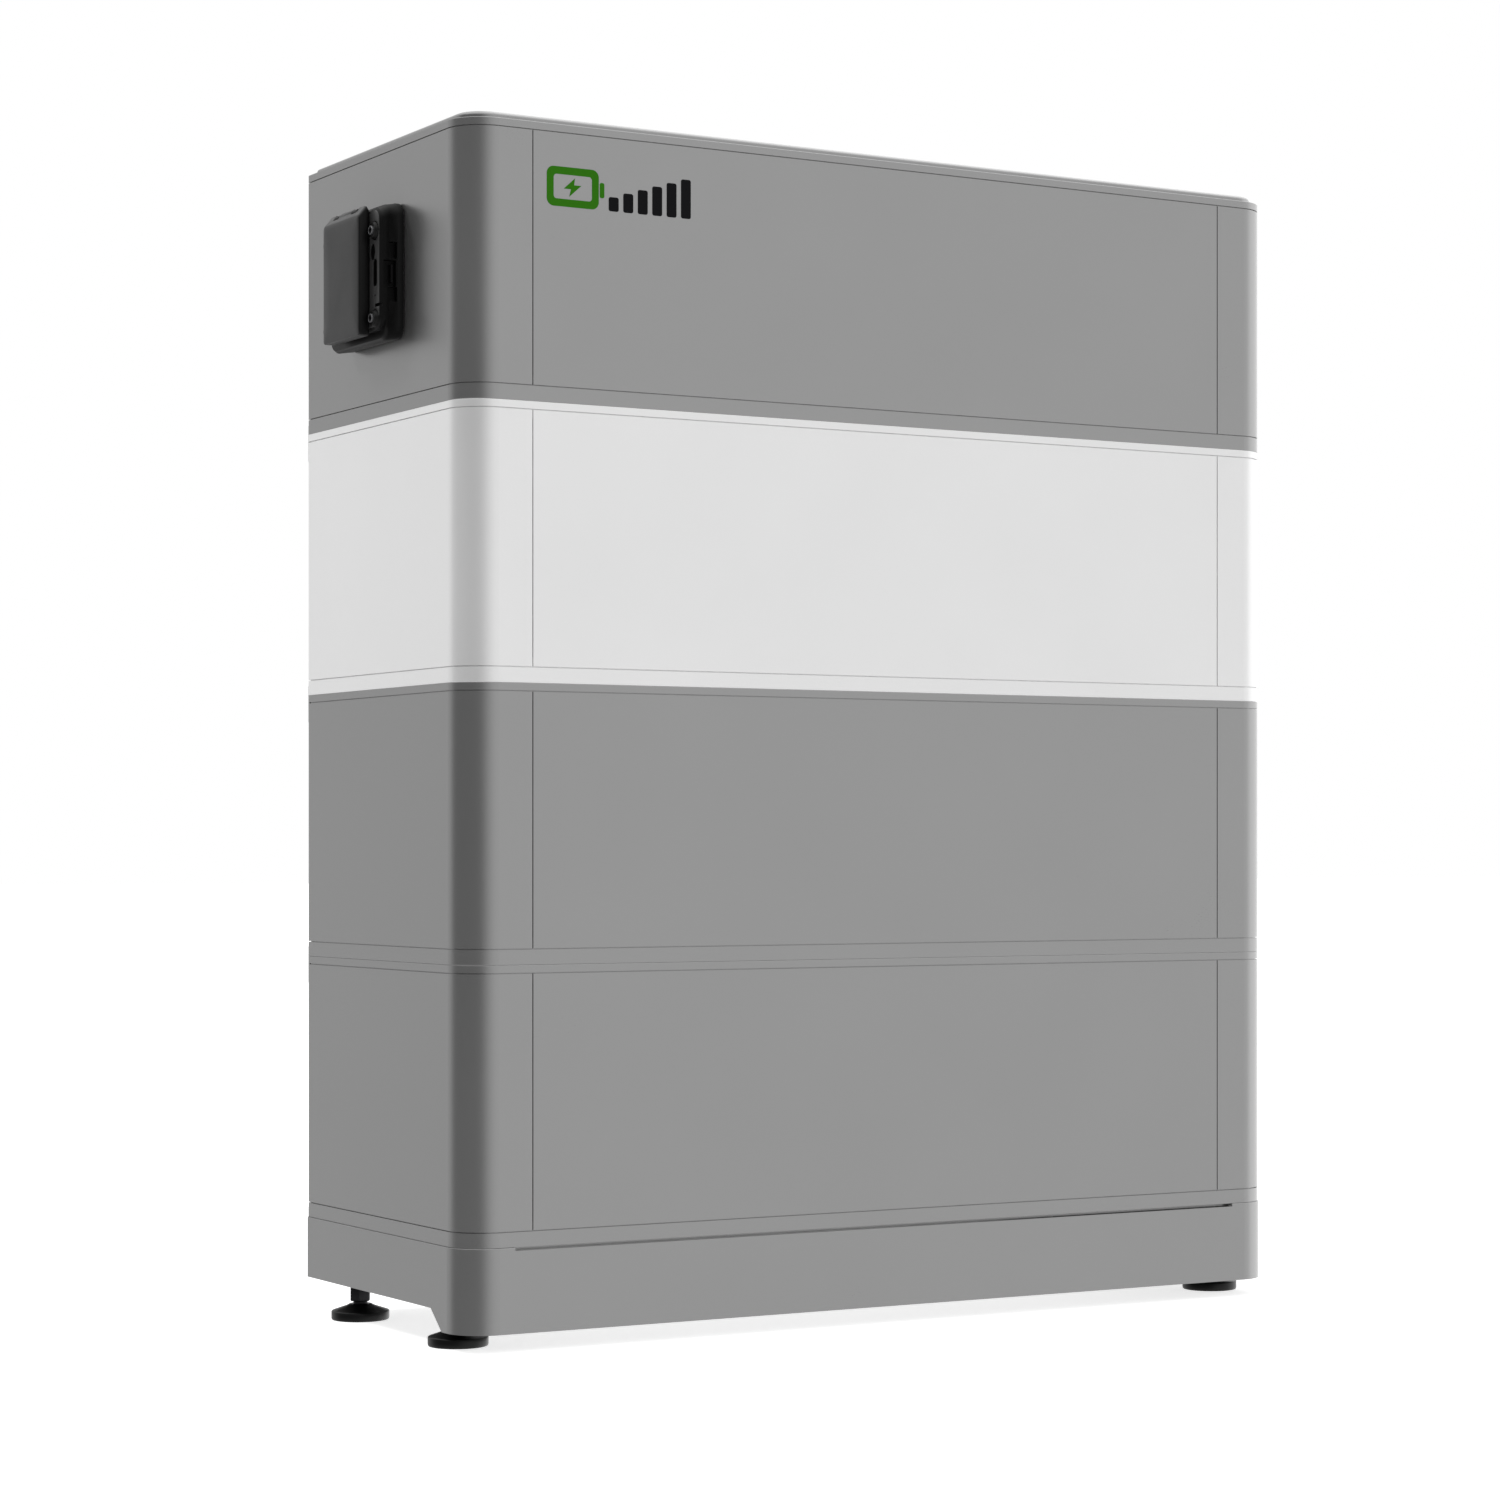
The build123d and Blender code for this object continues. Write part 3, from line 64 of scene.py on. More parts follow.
# ------------------------------------------------------------------------------ node trees
class Wire:
    """One output socket of a node tree; arithmetic on it adds Math nodes."""

    def __init__(self, graph: "Graph", socket: bpy.types.NodeSocket) -> None:
        """Keep the socket and the graph that it belongs to."""
        self.graph = graph
        self.socket = socket

    def _math(self, operation: str, *operands: Value) -> "Wire":
        """Add one Math node and return its result."""
        inputs = dict(enumerate(operands))
        return self.graph.add("ShaderNodeMath", {"operation": operation}, inputs)

    def __add__(self, other: Value) -> "Wire":
        """Sum."""
        return self._math("ADD", self, other)

    __radd__ = __add__

    def __sub__(self, other: Value) -> "Wire":
        """Difference."""
        return self._math("SUBTRACT", self, other)

    def __rsub__(self, other: Value) -> "Wire":
        """Difference with this wire on the right."""
        return self._math("SUBTRACT", other, self)

    def __mul__(self, other: Value) -> "Wire":
        """Product."""
        return self._math("MULTIPLY", self, other)

    __rmul__ = __mul__

    def __truediv__(self, other: Value) -> "Wire":
        """Quotient."""
        return self._math("DIVIDE", self, other)

    def __pow__(self, other: Value) -> "Wire":
        """Power."""
        return self._math("POWER", self, other)

    def __gt__(self, other: Value) -> "Wire":
        """One where this wire is above the other, else zero."""
        return self._math("GREATER_THAN", self, other)

    def bearing(self, across: Value) -> "Wire":
        """Angle whose tangent is this wire over another."""
        return self._math("ARCTAN2", self, across)

    def most(self, other: Value) -> "Wire":
        """Larger of the two."""
        return self._math("MAXIMUM", self, other)

    def ping(self, period: float) -> "Wire":
        """Triangle wave of this wire."""
        return self._math("PINGPONG", self, period)

    def rise(self, low: float, high: float) -> "Wire":
        """Smooth step from 0 at low to 1 at high."""
        settings = {"interpolation_type": "SMOOTHSTEP"}
        inputs = {"Value": self, "From Min": low, "From Max": high}
        return self.graph.add("ShaderNodeMapRange", settings, inputs)


class Graph:
    """A shader or geometry node tree that is filled through one method."""

    def __init__(self, tree: bpy.types.NodeTree) -> None:
        """Empty the tree so that the script alone decides what is in it."""
        self.tree = tree
        tree.nodes.clear()

    @staticmethod
    def _find(sockets: Iterable[bpy.types.NodeSocket],
              key: Union[int, str]) -> bpy.types.NodeSocket:
        """Pick a socket by its place or by its name among those in use."""
        if isinstance(key, int):
            return sockets[key]
        return next(s for s in sockets if s.enabled and s.name == key)

    def add(self, kind: str, settings: Optional[dict] = None,
            inputs: Optional[dict] = None, out: Union[int, str, None] = None) -> Wire:
        """Add one node.

        Args:
            kind: Blender's type name of the node.
            settings: The node's own settings, set first; "stops" fills a colour ramp.
            inputs: Values or wires by socket name or place.
            out: The output to return; the first one in use if it isn't given.

        Returns:
            The chosen output.
        """
        node = self.tree.nodes.new(kind)
        for key, value in (settings or {}).items():
            if key == "stops":
                self._fill_ramp(node.color_ramp, value)
            else:
                setattr(node, key, value)
        for key, value in (inputs or {}).items():
            socket = self._find(node.inputs, key)
            if isinstance(value, Wire):
                self.tree.links.new(value.socket, socket)
            else:
                socket.default_value = value
        if not node.outputs:
            return Wire(self, None)
        if out is None:
            return Wire(self, next(s for s in node.outputs if s.enabled))
        return Wire(self, self._find(node.outputs, out))

    @staticmethod
    def _fill_ramp(ramp: bpy.types.ColorRamp, stops: Sequence[tuple[float, float]]) -> None:
        """Give a colour ramp its grey stops."""
        while len(ramp.elements) > 1:
            ramp.elements.remove(ramp.elements[-1])
        ramp.elements[0].position, level = stops[0]
        ramp.elements[0].color = (level, level, level, 1)
        for position, level in stops[1:]:
            ramp.elements.new(position).color = (level, level, level, 1)

    def split(self, vector: Wire) -> tuple[Wire, Wire, Wire]:
        """Return the three parts of a vector."""
        first = self.add("ShaderNodeSeparateXYZ", inputs={0: vector})
        return tuple(Wire(self, s) for s in first.socket.node.outputs)

    def join(self, x: Value, y: Value, z: Value) -> Wire:
        """Return a vector made of three values."""
        return self.add("ShaderNodeCombineXYZ", inputs={0: x, 1: y, 2: z})

    def mix(self, factor: Value, low: Value, high: Value) -> Wire:
        """Return the colour between low and high."""
        inputs = {"Factor": factor, "A": full(low), "B": full(high)}
        return self.add("ShaderNodeMix", {"data_type": "RGBA"}, inputs)

    def place(self, stretch: Point = (1, 1, 1)) -> Wire:
        """Return the object's own coordinates, stretched along its axes."""
        place = self.add("ShaderNodeTexCoord", out="Object")
        if stretch == (1, 1, 1):
            return place
        return self.add("ShaderNodeMapping", inputs={"Vector": place, "Scale": stretch})

    def noise(self, scale: float, detail: float = 2.0, stretch: Point = (1, 1, 1)) -> Wire:
        """Return noise between 0 and 1 on the object's own coordinates."""
        inputs = {"Vector": self.place(stretch), "Scale": scale, "Detail": detail}
        return self.add("ShaderNodeTexNoise", inputs=inputs)

    def bump(self, height: Wire, depth: float, strength: float = 1.0) -> Wire:
        """Return a normal that follows a height, in metres of depth."""
        inputs = {"Height": height, "Distance": depth, "Strength": strength}
        return self.add("ShaderNodeBump", inputs=inputs)


def full(value: Value) -> Value:
    """Give a three-part colour its alpha."""
    if isinstance(value, tuple) and len(value) == 3:
        return (*value, 1.0)
    return value


# -------------------------------------------------------------------------------- finishes
class Grain(Enum):
    """Ways in which a metal shows how it was worked."""

    TURNED = (1.0, 1.0, 1.0)
    DRAWN_UP = (1.0, 1.0, 0.02)
    DRAWN_ACROSS = (0.02, 1.0, 1.0)


@dataclass(frozen=True)
class Finish:
    """Common part of every finish: its name, colour and shine."""

    name: str
    colour: Colour
    roughness: float
    metallic: float = 0.0

    def make(self) -> bpy.types.Material:
        """Build the material.

        Returns:
            The material, ready to be put on a piece.
        """
        material = bpy.data.materials.new(self.name)
        material.use_nodes = True
        graph = Graph(material.node_tree)
        inputs = {"Metallic": self.metallic, **self.constants(), **self.shade(graph)}
        bsdf = graph.add("ShaderNodeBsdfPrincipled", inputs=inputs)
        graph.add("ShaderNodeOutputMaterial", inputs={"Surface": bsdf})
        material.diffuse_color = full(self.colour)
        return material

    def constants(self) -> dict:
        """Settings of the surface that are the same everywhere."""
        return {}

    def shade(self, graph: Graph) -> dict:
        """Settings of the surface that change from place to place."""
        raise NotImplementedError


@dataclass(frozen=True)
class PowderCoat(Finish):
    """Satin powder coat on sheet steel: fine orange peel and faint clouding."""

    cloud: float = 0.03
    peel_depth: float = 0.00002

    def shade(self, graph: Graph) -> dict:
        """Cloud the colour and the shine, and raise the peel."""
        cloud = graph.noise(9.0, 3.0)
        fleck = graph.noise(1400.0, 1.0)
        tone = cloud * self.cloud + fleck * (0.6 * self.cloud)
        low = tuple(c * (1 - 1.2 * self.cloud) for c in self.colour)
        high = tuple(min(c * (1 + 1.2 * self.cloud), 1.0) for c in self.colour)
        peel = graph.noise(520.0, 2.0)
        return {
            "Base Color": graph.mix(tone / (1.6 * self.cloud), low, high),
            "Roughness": self.roughness + (cloud - 0.5) * 0.08 + (fleck - 0.5) * 0.05,
            "Normal": graph.bump(peel, self.peel_depth),
        }


@dataclass(frozen=True)
class Moulded(Finish):
    """Moulded plastic with a spark-eroded grain and slightly polished patches."""

    grain_scale: float = 1800.0
    grain_depth: float = 0.00002
    specular: float = 0.5

    def constants(self) -> dict:
        """How much light the plastic throws back."""
        return {"Specular IOR Level": self.specular}

    def shade(self, graph: Graph) -> dict:
        """Grain the surface and let handled patches shine a little more."""
        handled = graph.noise(38.0, 3.0)
        grain = graph.noise(self.grain_scale, 2.0)
        low = tuple(0.85 * c for c in self.colour)
        high = tuple(1.2 * c for c in self.colour)
        return {
            "Base Color": graph.mix(handled * 0.6 + grain * 0.4, low, high),
            "Roughness": self.roughness + (handled - 0.5) * 0.14 + (grain - 0.5) * 0.08,
            "Normal": graph.bump(grain, self.grain_depth),
        }


@dataclass(frozen=True)
class Metal(Finish):
    """Bare or plated metal with the marks of the tool that made it."""

    metallic: float = 1.0
    grain: Grain = Grain.TURNED
    scratch_depth: float = 0.000006

    def shade(self, graph: Graph) -> dict:
        """Draw the tool marks and the uneven plating."""
        marks = graph.noise(1500.0, 3.0, self.grain.value)
        plating = graph.noise(90.0, 2.0)
        low = tuple(0.82 * c for c in self.colour)
        high = tuple(min(1.1 * c, 1.0) for c in self.colour)
        return {
            "Base Color": graph.mix(plating * 0.7 + marks * 0.3, low, high),
            "Roughness": self.roughness + (marks - 0.5) * 0.18 + (plating - 0.5) * 0.1,
            "Normal": graph.bump(marks, self.scratch_depth),
        }


@dataclass(frozen=True)
class CircuitBoard(Finish):
    """Solder mask over copper tracks, with tinned pads in rows."""

    copper: Colour = (0.09, 0.24, 0.10)
    tin: Colour = (0.62, 0.60, 0.56)
    pitch: float = 260.0

    def shade(self, graph: Graph) -> dict:
        """Lay tracks along two directions and pads where they meet."""
        x, y, z = graph.split(graph.place())
        run = graph.noise(70.0, 1.0)
        along = ((x + z) * self.pitch + run * 1.6).ping(0.5)
        across = (y * self.pitch + run * 1.2).ping(0.5)
        track = (along > 0.34).most(across > 0.4)
        pad = (along > 0.3) * (across > 0.3) * (graph.noise(160.0) > 0.52)
        masked = graph.mix(track, self.colour, self.copper)
        return {
            "Base Color": graph.mix(pad, masked, self.tin),
            "Roughness": self.roughness - 0.1 * pad,
            "Metallic": pad * 0.9,
            "Normal": graph.bump(track + pad, 0.00003),
        }


@dataclass(frozen=True)
class Film(Finish):
    """Shrink film round a battery cell: thin wrinkles and a soft shine."""

    def shade(self, graph: Graph) -> dict:
        """Wrinkle the film and cloud its colour."""
        wrinkle = graph.noise(120.0, 4.0, (1.0, 1.0, 0.25))
        cloud = graph.noise(14.0, 2.0)
        low = tuple(0.8 * c for c in self.colour)
        high = tuple(min(1.15 * c, 1.0) for c in self.colour)
        return {
            "Base Color": graph.mix(cloud, low, high),
            "Roughness": self.roughness + (wrinkle - 0.5) * 0.2,
            "Normal": graph.bump(wrinkle, 0.00015),
        }


@dataclass(frozen=True)
class Ink(Finish):
    """Screen-printed ink with a fine edge-to-edge grain."""

    def constants(self) -> dict:
        """Matt ink throws little light back."""
        return {"Specular IOR Level": 0.08}

    def shade(self, graph: Graph) -> dict:
        """Vary the ink's cover slightly."""
        cover = graph.noise(2200.0, 2.0)
        low = tuple(0.9 * c for c in self.colour)
        return {
            "Base Color": graph.mix(cover, low, self.colour),
            "Roughness": self.roughness + (cover - 0.5) * 0.1,
            "Normal": graph.bump(cover, 0.000008),
        }


@dataclass(frozen=True)
class Finishes:
    """Every finish of the stack, made once and shared by its pieces."""

    grey: Finish = PowderCoat("grey_powder_coat", (0.328, 0.328, 0.328), 0.3, 0.82)
    light: Finish = PowderCoat("light_powder_coat", (0.925, 0.925, 0.925), 0.31, 0.42)
    black: Finish = Moulded("black_moulding", (0.007, 0.007, 0.0074), 0.36, specular=0.38)
    # Near-black, duller copy of the black moulding: painted shade on the breaker frame's sides and
    # on the flap's side walls; on the negative receptacle ring it is that ring's own black.
    painted_shade_and_ring: Finish = Moulded("painted_shade_and_ring_black_moulding", (0.0025, 0.0025, 0.0025), 0.4, specular=0.2)
    # Lighter, shinier copy of the same black moulding on the breaker frame's face plate: painted
    # light on the frame's outward face.
    face: Finish = Moulded("painted_lit_black_moulding", (0.034, 0.034, 0.034), 0.36, specular=0.5)
    warm_ring: Finish = Moulded("positive_ring", (0.32, 0.012, 0.01), 0.4)
    foot: Finish = Moulded("foot_nylon", (0.002, 0.002, 0.002), 0.36, grain_scale=1200.0,
                           specular=0.3)
    grey_plastic: Finish = Moulded("grey_moulding", (0.22, 0.23, 0.24), 0.48)
    rubber: Finish = Moulded("seal_rubber", (0.015, 0.015, 0.015), 0.72, specular=0.3)
    ecoat: Finish = PowderCoat("black_dip_coat", (0.02, 0.02, 0.021), 0.5)
    steel: Finish = Metal("zinc_plated_steel", (0.62, 0.63, 0.64), 0.32)
    dark_steel: Finish = Metal("blackened_steel", (0.035, 0.035, 0.037), 0.42)
    # Lighter steel for the thin rings round the breaker screws' dark heads: a painted glint on the
    # head edges.
    painted_glint_steel: Finish = Metal("painted_glint_rim", (0.24, 0.24, 0.25), 0.35)
    extrusion: Finish = Metal("anodised_extrusion", (0.5, 0.51, 0.52), 0.42, grain=Grain.DRAWN_UP)
    plate: Finish = Metal("aluminium_plate", (0.7, 0.71, 0.72), 0.38, grain=Grain.DRAWN_ACROSS)
    film: Finish = Film("cell_film", (0.03, 0.11, 0.32), 0.38)
    board: Finish = CircuitBoard("circuit_board", (0.012, 0.10, 0.035), 0.38)
    green_ink: Finish = Ink("green_ink", (0.035, 0.21, 0.004), 0.5)
    dark_ink: Finish = Ink("dark_ink", (0.003, 0.003, 0.004), 0.55)
    made: dict = field(default_factory=dict, compare=False)

    def of(self, finish: Finish) -> bpy.types.Material:
        """Return the material of a finish, made the first time it is asked for."""
        if finish.name not in self.made:
            self.made[finish.name] = finish.make()
        return self.made[finish.name]


# ------------------------------------------------------------------------------- modelling
Loop = list[tuple[float, float]]


@dataclass(frozen=True)
class Seat:
    """A flat place on the stack, with its own across, up and outward directions."""

    origin: Point
    across: Point
    up: Point
    out: Point

    def point(self, u: float, v: float, rise: float) -> Vector:
        """Return a point of the seat, given in millimetres, in the stack's metres."""
        along = Vector(self.across) * u + Vector(self.up) * v + Vector(self.out) * rise
        return Vector(self.origin) + along * MM

    def matrix(self, u: float = 0.0, v: float = 0.0, rise: float = 0.0) -> Matrix:
        """Return the transform that stands a shape on the seat at a place."""
        axes = Matrix((self.across, self.up, self.out)).transposed().to_4x4()
        return Matrix.Translation(self.point(u, v, rise)) @ axes


def rounded(width: float, height: float, radius: float, steps: int = 6,
            centre: tuple[float, float] = (0.0, 0.0)) -> Loop:
    """Return a rectangle with round corners, counter-clockwise, in millimetres."""
    loop = []
    for corner, (sx, sy) in enumerate(((1, -1), (1, 1), (-1, 1), (-1, -1))):
        cx = centre[0] + sx * (width / 2 - radius)
        cy = centre[1] + sy * (height / 2 - radius)
        for step in range(steps + 1):
            angle = math.radians(90 * (corner - 1) + 90 * step / steps)
            loop.append((cx + radius * math.cos(angle), cy + radius * math.sin(angle)))
    return loop


def circle(radius: float, count: int, centre: tuple[float, float] = (0.0, 0.0)) -> Loop:
    """Return a circle or a regular polygon, counter-clockwise, in millimetres."""
    turns = (2 * math.pi * n / count for n in range(count))
    return [(centre[0] + radius * math.cos(t), centre[1] + radius * math.sin(t)) for t in turns]


def loft(bm: bmesh.types.BMesh, sections: Sequence[tuple[Loop, float]], seat: Matrix) -> None:
    """Skin closed loops of equal count, each at its rise, and cap both ends.

    Args:
        bm: Mesh that receives the skin.
        sections: Loops in millimetres with their rises, lowest first.
        seat: Transform from millimetre-scaled metres to the stack.
    """
    rings = []
    for loop, rise in sections:
        points = (Vector((u * MM, v * MM, rise * MM)) for u, v in loop)
        rings.append([bm.verts.new(seat @ point) for point in points])
    for low, high in zip(rings, rings[1:]):
        for n in range(len(low)):
            after = (n + 1) % len(low)
            bm.faces.new((low[n], low[after], high[after], high[n]))
    bm.faces.new(list(reversed(rings[0])))
    bm.faces.new(rings[-1])


def lathe(bm: bmesh.types.BMesh, profile: Sequence[tuple[float, float]], seat: Matrix,
          count: int = 48) -> None:
    """Turn a profile of (radius, rise) pairs about the seat's outward axis."""
    loft(bm, [(circle(radius, count), rise) for radius, rise in profile], seat)


@dataclass
class Blank:
    """A mesh in the making: solids are added, carved, softened and then settled as a piece."""

    name: str
    bm: bmesh.types.BMesh = field(default_factory=bmesh.new)

    def sections(self, sections: Sequence[tuple[Loop, float]], seat: Matrix) -> "Blank":
        """Add a lofted solid."""
        loft(self.bm, sections, seat)
        return self

    def turned(self, profile: Sequence[tuple[float, float]], seat: Matrix,
               count: int = 48) -> "Blank":
        """Add a turned solid."""
        lathe(self.bm, profile, seat, count)
        return self

    def object(self) -> bpy.types.Object:
        """Turn the mesh in the making into an object, its faces pointing outwards."""
        bmesh.ops.recalc_face_normals(self.bm, faces=self.bm.faces)
        mesh = bpy.data.meshes.new(self.name)
        self.bm.to_mesh(mesh)
        self.bm.free()
        shaped = bpy.data.objects.new(self.name, mesh)
        bpy.context.scene.collection.objects.link(shaped)
        return shaped


def slab(loop: Loop, low: float, high: float, seat: Matrix) -> Blank:
    """Return a solid of one outline between two heights."""
    return Blank("slab").sections([(loop, low), (loop, high)], seat)


def applied(shaped: bpy.types.Object) -> bpy.types.Object:
    """Replace an object's mesh by its evaluated one, and drop its modifiers."""
    graph = bpy.context.evaluated_depsgraph_get()
    mesh = bpy.data.meshes.new_from_object(shaped.evaluated_get(graph))
    shaped.modifiers.clear()
    shaped.data = mesh
    return shaped


def combine(base: bpy.types.Object, other: Blank, operation: str) -> bpy.types.Object:
    """Cut another solid out of an object, or weld it on."""
    tool = other.object()
    change = base.modifiers.new(other.name, "BOOLEAN")
    change.operation = operation
    change.solver = "EXACT"
    change.use_self = operation == "UNION"
    change.object = tool
    applied(base)
    bpy.data.objects.remove(tool)
    return base


def soften(shaped: bpy.types.Object, width: float, segments: int = 2,
           angle: float = 32.0) -> bpy.types.Object:
    """Round the crisp edges of an object, with its width in millimetres."""
    edge = shaped.modifiers.new("edges", "BEVEL")
    edge.width = width * MM
    edge.segments = segments
    edge.limit_method = "ANGLE"
    edge.angle_limit = math.radians(angle)
    edge.use_clamp_overlap = True
    edge.harden_normals = False
    return applied(shaped)


@dataclass
class Workshop:
    """Finishes pieces: shading, material and body."""

    finishes: Finishes

    def settle(self, shaped: bpy.types.Object, finish: Finish, slot: str,
               body: str = "stack", replaces: Sequence[str] = (),
               smooth: float = 35.0) -> bpy.types.Object:
        """Finish a piece and put it on its body.

        Args:
            shaped: The modelled object, in place.
            finish: What its surface is.
            slot: Name of the slot that the finish belongs to; not used.
            body: The body that it moves with.
            replaces: Nodes of the frame that it stands for.
            smooth: Angle in degrees below which faces are shaded as one.

        Returns:
            The same object.
        """
        mesh = shaped.data
        mesh.polygons.foreach_set("use_smooth", [True] * len(mesh.polygons))
        mesh.set_sharp_from_angle(angle=math.radians(smooth))
        mesh.materials.clear()
        mesh.materials.append(self.finishes.of(finish))
        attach(shaped, body)
        if replaces:
            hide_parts(*replaces)
        log.info("piece %s: %d faces on %s", shaped.name, len(mesh.polygons), body)
        return shaped


class Pattern:
    """A Geometry Nodes tree with named inputs that is cast into a plain mesh."""

    KINDS = {float: "NodeSocketFloat", int: "NodeSocketInt", tuple: "NodeSocketVector",
             bpy.types.Object: "NodeSocketObject", bpy.types.Material: "NodeSocketMaterial"}

    def __init__(self, name: str, **sizes: Union[float, int, Point, bpy.types.ID]) -> None:
        """Open a tree whose inputs are the given sizes."""
        self.name = name
        self.sizes = sizes
        self.tree = bpy.data.node_groups.new(name, "GeometryNodeTree")
        self.graph = Graph(self.tree)
        face = self.tree.interface
        face.new_socket("Geometry", in_out="INPUT", socket_type="NodeSocketGeometry")
        face.new_socket("Geometry", in_out="OUTPUT", socket_type="NodeSocketGeometry")
        self.names = {}
        for key, value in sizes.items():
            kind = next(k for t, k in self.KINDS.items() if isinstance(value, t))
            label = key.replace("_", " ").capitalize()
            self.names[key] = face.new_socket(label, in_out="INPUT", socket_type=kind)
        self.start = self.tree.nodes.new("NodeGroupInput")

    def get(self, key: str) -> Wire:
        """Return the wire of one named input, or the geometry's."""
        label = "Geometry" if key == "geometry" else self.names[key].name
        return Wire(self.graph, self.start.outputs[label])

    def cast(self, result: Wire, material: bpy.types.Material,
             base: Optional[bpy.types.Mesh] = None) -> bpy.types.Object:
        """Close the tree, run it once and keep only the plain mesh.

        Args:
            result: Geometry that the tree makes.
            material: Material that it sets.
            base: Mesh that the tree starts from, if it needs one.

        Returns:
            A new object at the origin with the finished mesh.
        """
        real = self.graph.add("GeometryNodeRealizeInstances", inputs={"Geometry": result})
        inputs = {"Geometry": real, "Material": material}
        dressed = self.graph.add("GeometryNodeSetMaterial", inputs=inputs)
        self.graph.add("NodeGroupOutput", inputs={"Geometry": dressed})
        mesh = base or bpy.data.meshes.new(self.name)
        shaped = bpy.data.objects.new(self.name, mesh)
        bpy.context.scene.collection.objects.link(shaped)
        change = shaped.modifiers.new(self.name, "NODES")
        change.node_group = self.tree
        for key, value in self.sizes.items():
            change[self.names[key].identifier] = value
        return applied(shaped)


def points_mesh(name: str, places: Iterable[Vector]) -> bpy.types.Mesh:
    """Return a mesh of loose points."""
    mesh = bpy.data.meshes.new(name)
    mesh.from_pydata([tuple(p) for p in places], [], [])
    return mesh


def repeat(name: str, template: bpy.types.Object, places: Iterable[Vector], seat: Matrix,
           material: bpy.types.Material, seed: int, turn: float = math.tau) -> bpy.types.Object:
    """Repeat a small shape at many places, each turned by chance about its own axis.

    Args:
        name: Name of the result.
        template: Shape that stands at the origin with its axis along Z; it is used up.
        places: Where the copies stand.
        seat: Transform whose axes the copies take.
        material: Material of the copies.
        seed: Seed of the turning.
        turn: Largest turn in radians.

    Returns:
        One object that holds all copies.
    """
    pattern = Pattern(name, shape=template, tilt=tuple(seat.to_euler()), turn=turn, seed=seed)
    graph = pattern.graph
    shape = graph.add("GeometryNodeObjectInfo", inputs={"Object": pattern.get("shape")},
                      out="Geometry")
    copies = graph.add("GeometryNodeInstanceOnPoints", inputs={
        "Points": pattern.get("geometry"), "Instance": shape, "Rotation": pattern.get("tilt")})
    chance = graph.add("FunctionNodeRandomValue", {"data_type": "FLOAT"}, {
        "Min": 0.0, "Max": pattern.get("turn"), "Seed": pattern.get("seed")})
    turned = graph.add("GeometryNodeRotateInstances", inputs={
        "Instances": copies, "Rotation": graph.join(0.0, 0.0, chance)})
    cast = pattern.cast(turned, material, points_mesh(name, places))
    bpy.data.objects.remove(template)
    return cast


def ring_of(shaped: bpy.types.Object, outer: float, inner: float,
            height: float) -> bpy.types.Object:
    """Fill an empty object with a flat ring that stands on the origin.

    Args:
        shaped: Object that receives the ring.
        outer: Outer radius in millimetres.
        inner: Inner radius in millimetres.
        height: Height in millimetres.

    Returns:
        The same object.
    """
    bm = bmesh.new()
    rings = []
    for radius, rise in ((outer, 0.0), (outer, height - 0.15), (outer - 0.15, height),
                         (inner + 0.1, height), (inner, height - 0.1), (inner, 0.0)):
        rings.append([bm.verts.new((u * MM, v * MM, rise * MM)) for u, v in circle(radius, 28)])
    for near, far in zip(rings, rings[1:] + rings[:1]):
        for n in range(len(near)):
            after = (n + 1) % len(near)
            bm.faces.new((near[n], near[after], far[after], far[n]))
    bmesh.ops.recalc_face_normals(bm, faces=bm.faces)
    bm.to_mesh(shaped.data)
    bm.free()
    return shaped


def rib_ring(name: str, count: int, radius: float, rib: Point, seat: Matrix,
             material: bpy.types.Material) -> bpy.types.Object:
    """Stand ribs in a ring, as on a nut that is turned by hand.

    Args:
        name: Name of the result.
        count: Number of ribs.
        radius: Radius of their middles, in millimetres.
        rib: Depth, width and length of one rib, in millimetres.
        seat: Transform of the ring's middle.
        material: Material of the ribs.

    Returns:
        One object that holds all ribs.
    """
    size = tuple(c * MM for c in rib)
    pattern = Pattern(name, ribs=count, radius=radius * MM, rib_size=size,
                      middle=tuple(seat.translation), tilt=tuple(seat.to_euler()))
    graph = pattern.graph
    ring = graph.add("GeometryNodeMeshCircle", inputs={
        "Vertices": pattern.get("ribs"), "Radius": pattern.get("radius")})
    box = graph.add("GeometryNodeMeshCube", inputs={"Size": pattern.get("rib_size")})
    place = graph.add("GeometryNodeInputPosition")
    aim = graph.add("FunctionNodeAlignEulerToVector", {"axis": "X", "pivot_axis": "Z"},
                    {"Vector": place})
    ribs = graph.add("GeometryNodeInstanceOnPoints", inputs={
        "Points": ring, "Instance": box, "Rotation": aim})
    stood = graph.add("GeometryNodeTransform", inputs={
        "Geometry": ribs, "Translation": pattern.get("middle"), "Rotation": pattern.get("tilt")})
    return pattern.cast(stood, material)


def thread(name: str, turns: float, radius: float, ridge: float, length: float,
           foot: Point, material: bpy.types.Material) -> bpy.types.Object:
    """Wind a screw thread upwards from a point.

    Args:
        name: Name of the result.
        turns: Number of turns.
        radius: Radius of the ridge's middle, in millimetres.
        ridge: Half the ridge's width, in millimetres.
        length: Length of the thread, in millimetres.
        foot: Where the axis starts.
        material: Material of the thread.

    Returns:
        One object that holds the ridge.
    """
    pattern = Pattern(name, turns=float(turns), radius=radius * MM, ridge=ridge * MM,
                      length=length * MM, foot=foot)
    graph = pattern.graph
    helix = graph.add("GeometryNodeCurveSpiral", inputs={
        "Resolution": 24, "Rotations": pattern.get("turns"),
        "Start Radius": pattern.get("radius"), "End Radius": pattern.get("radius"),
        "Height": pattern.get("length")})
    section = graph.add("GeometryNodeCurvePrimitiveCircle", {"mode": "RADIUS"}, {
        "Resolution": 4, "Radius": pattern.get("ridge")})
    ridge_mesh = graph.add("GeometryNodeCurveToMesh", inputs={
        "Curve": helix, "Profile Curve": section, "Fill Caps": True})
    stood = graph.add("GeometryNodeTransform", inputs={
        "Geometry": ridge_mesh, "Translation": pattern.get("foot")})
    return pattern.cast(stood, material)


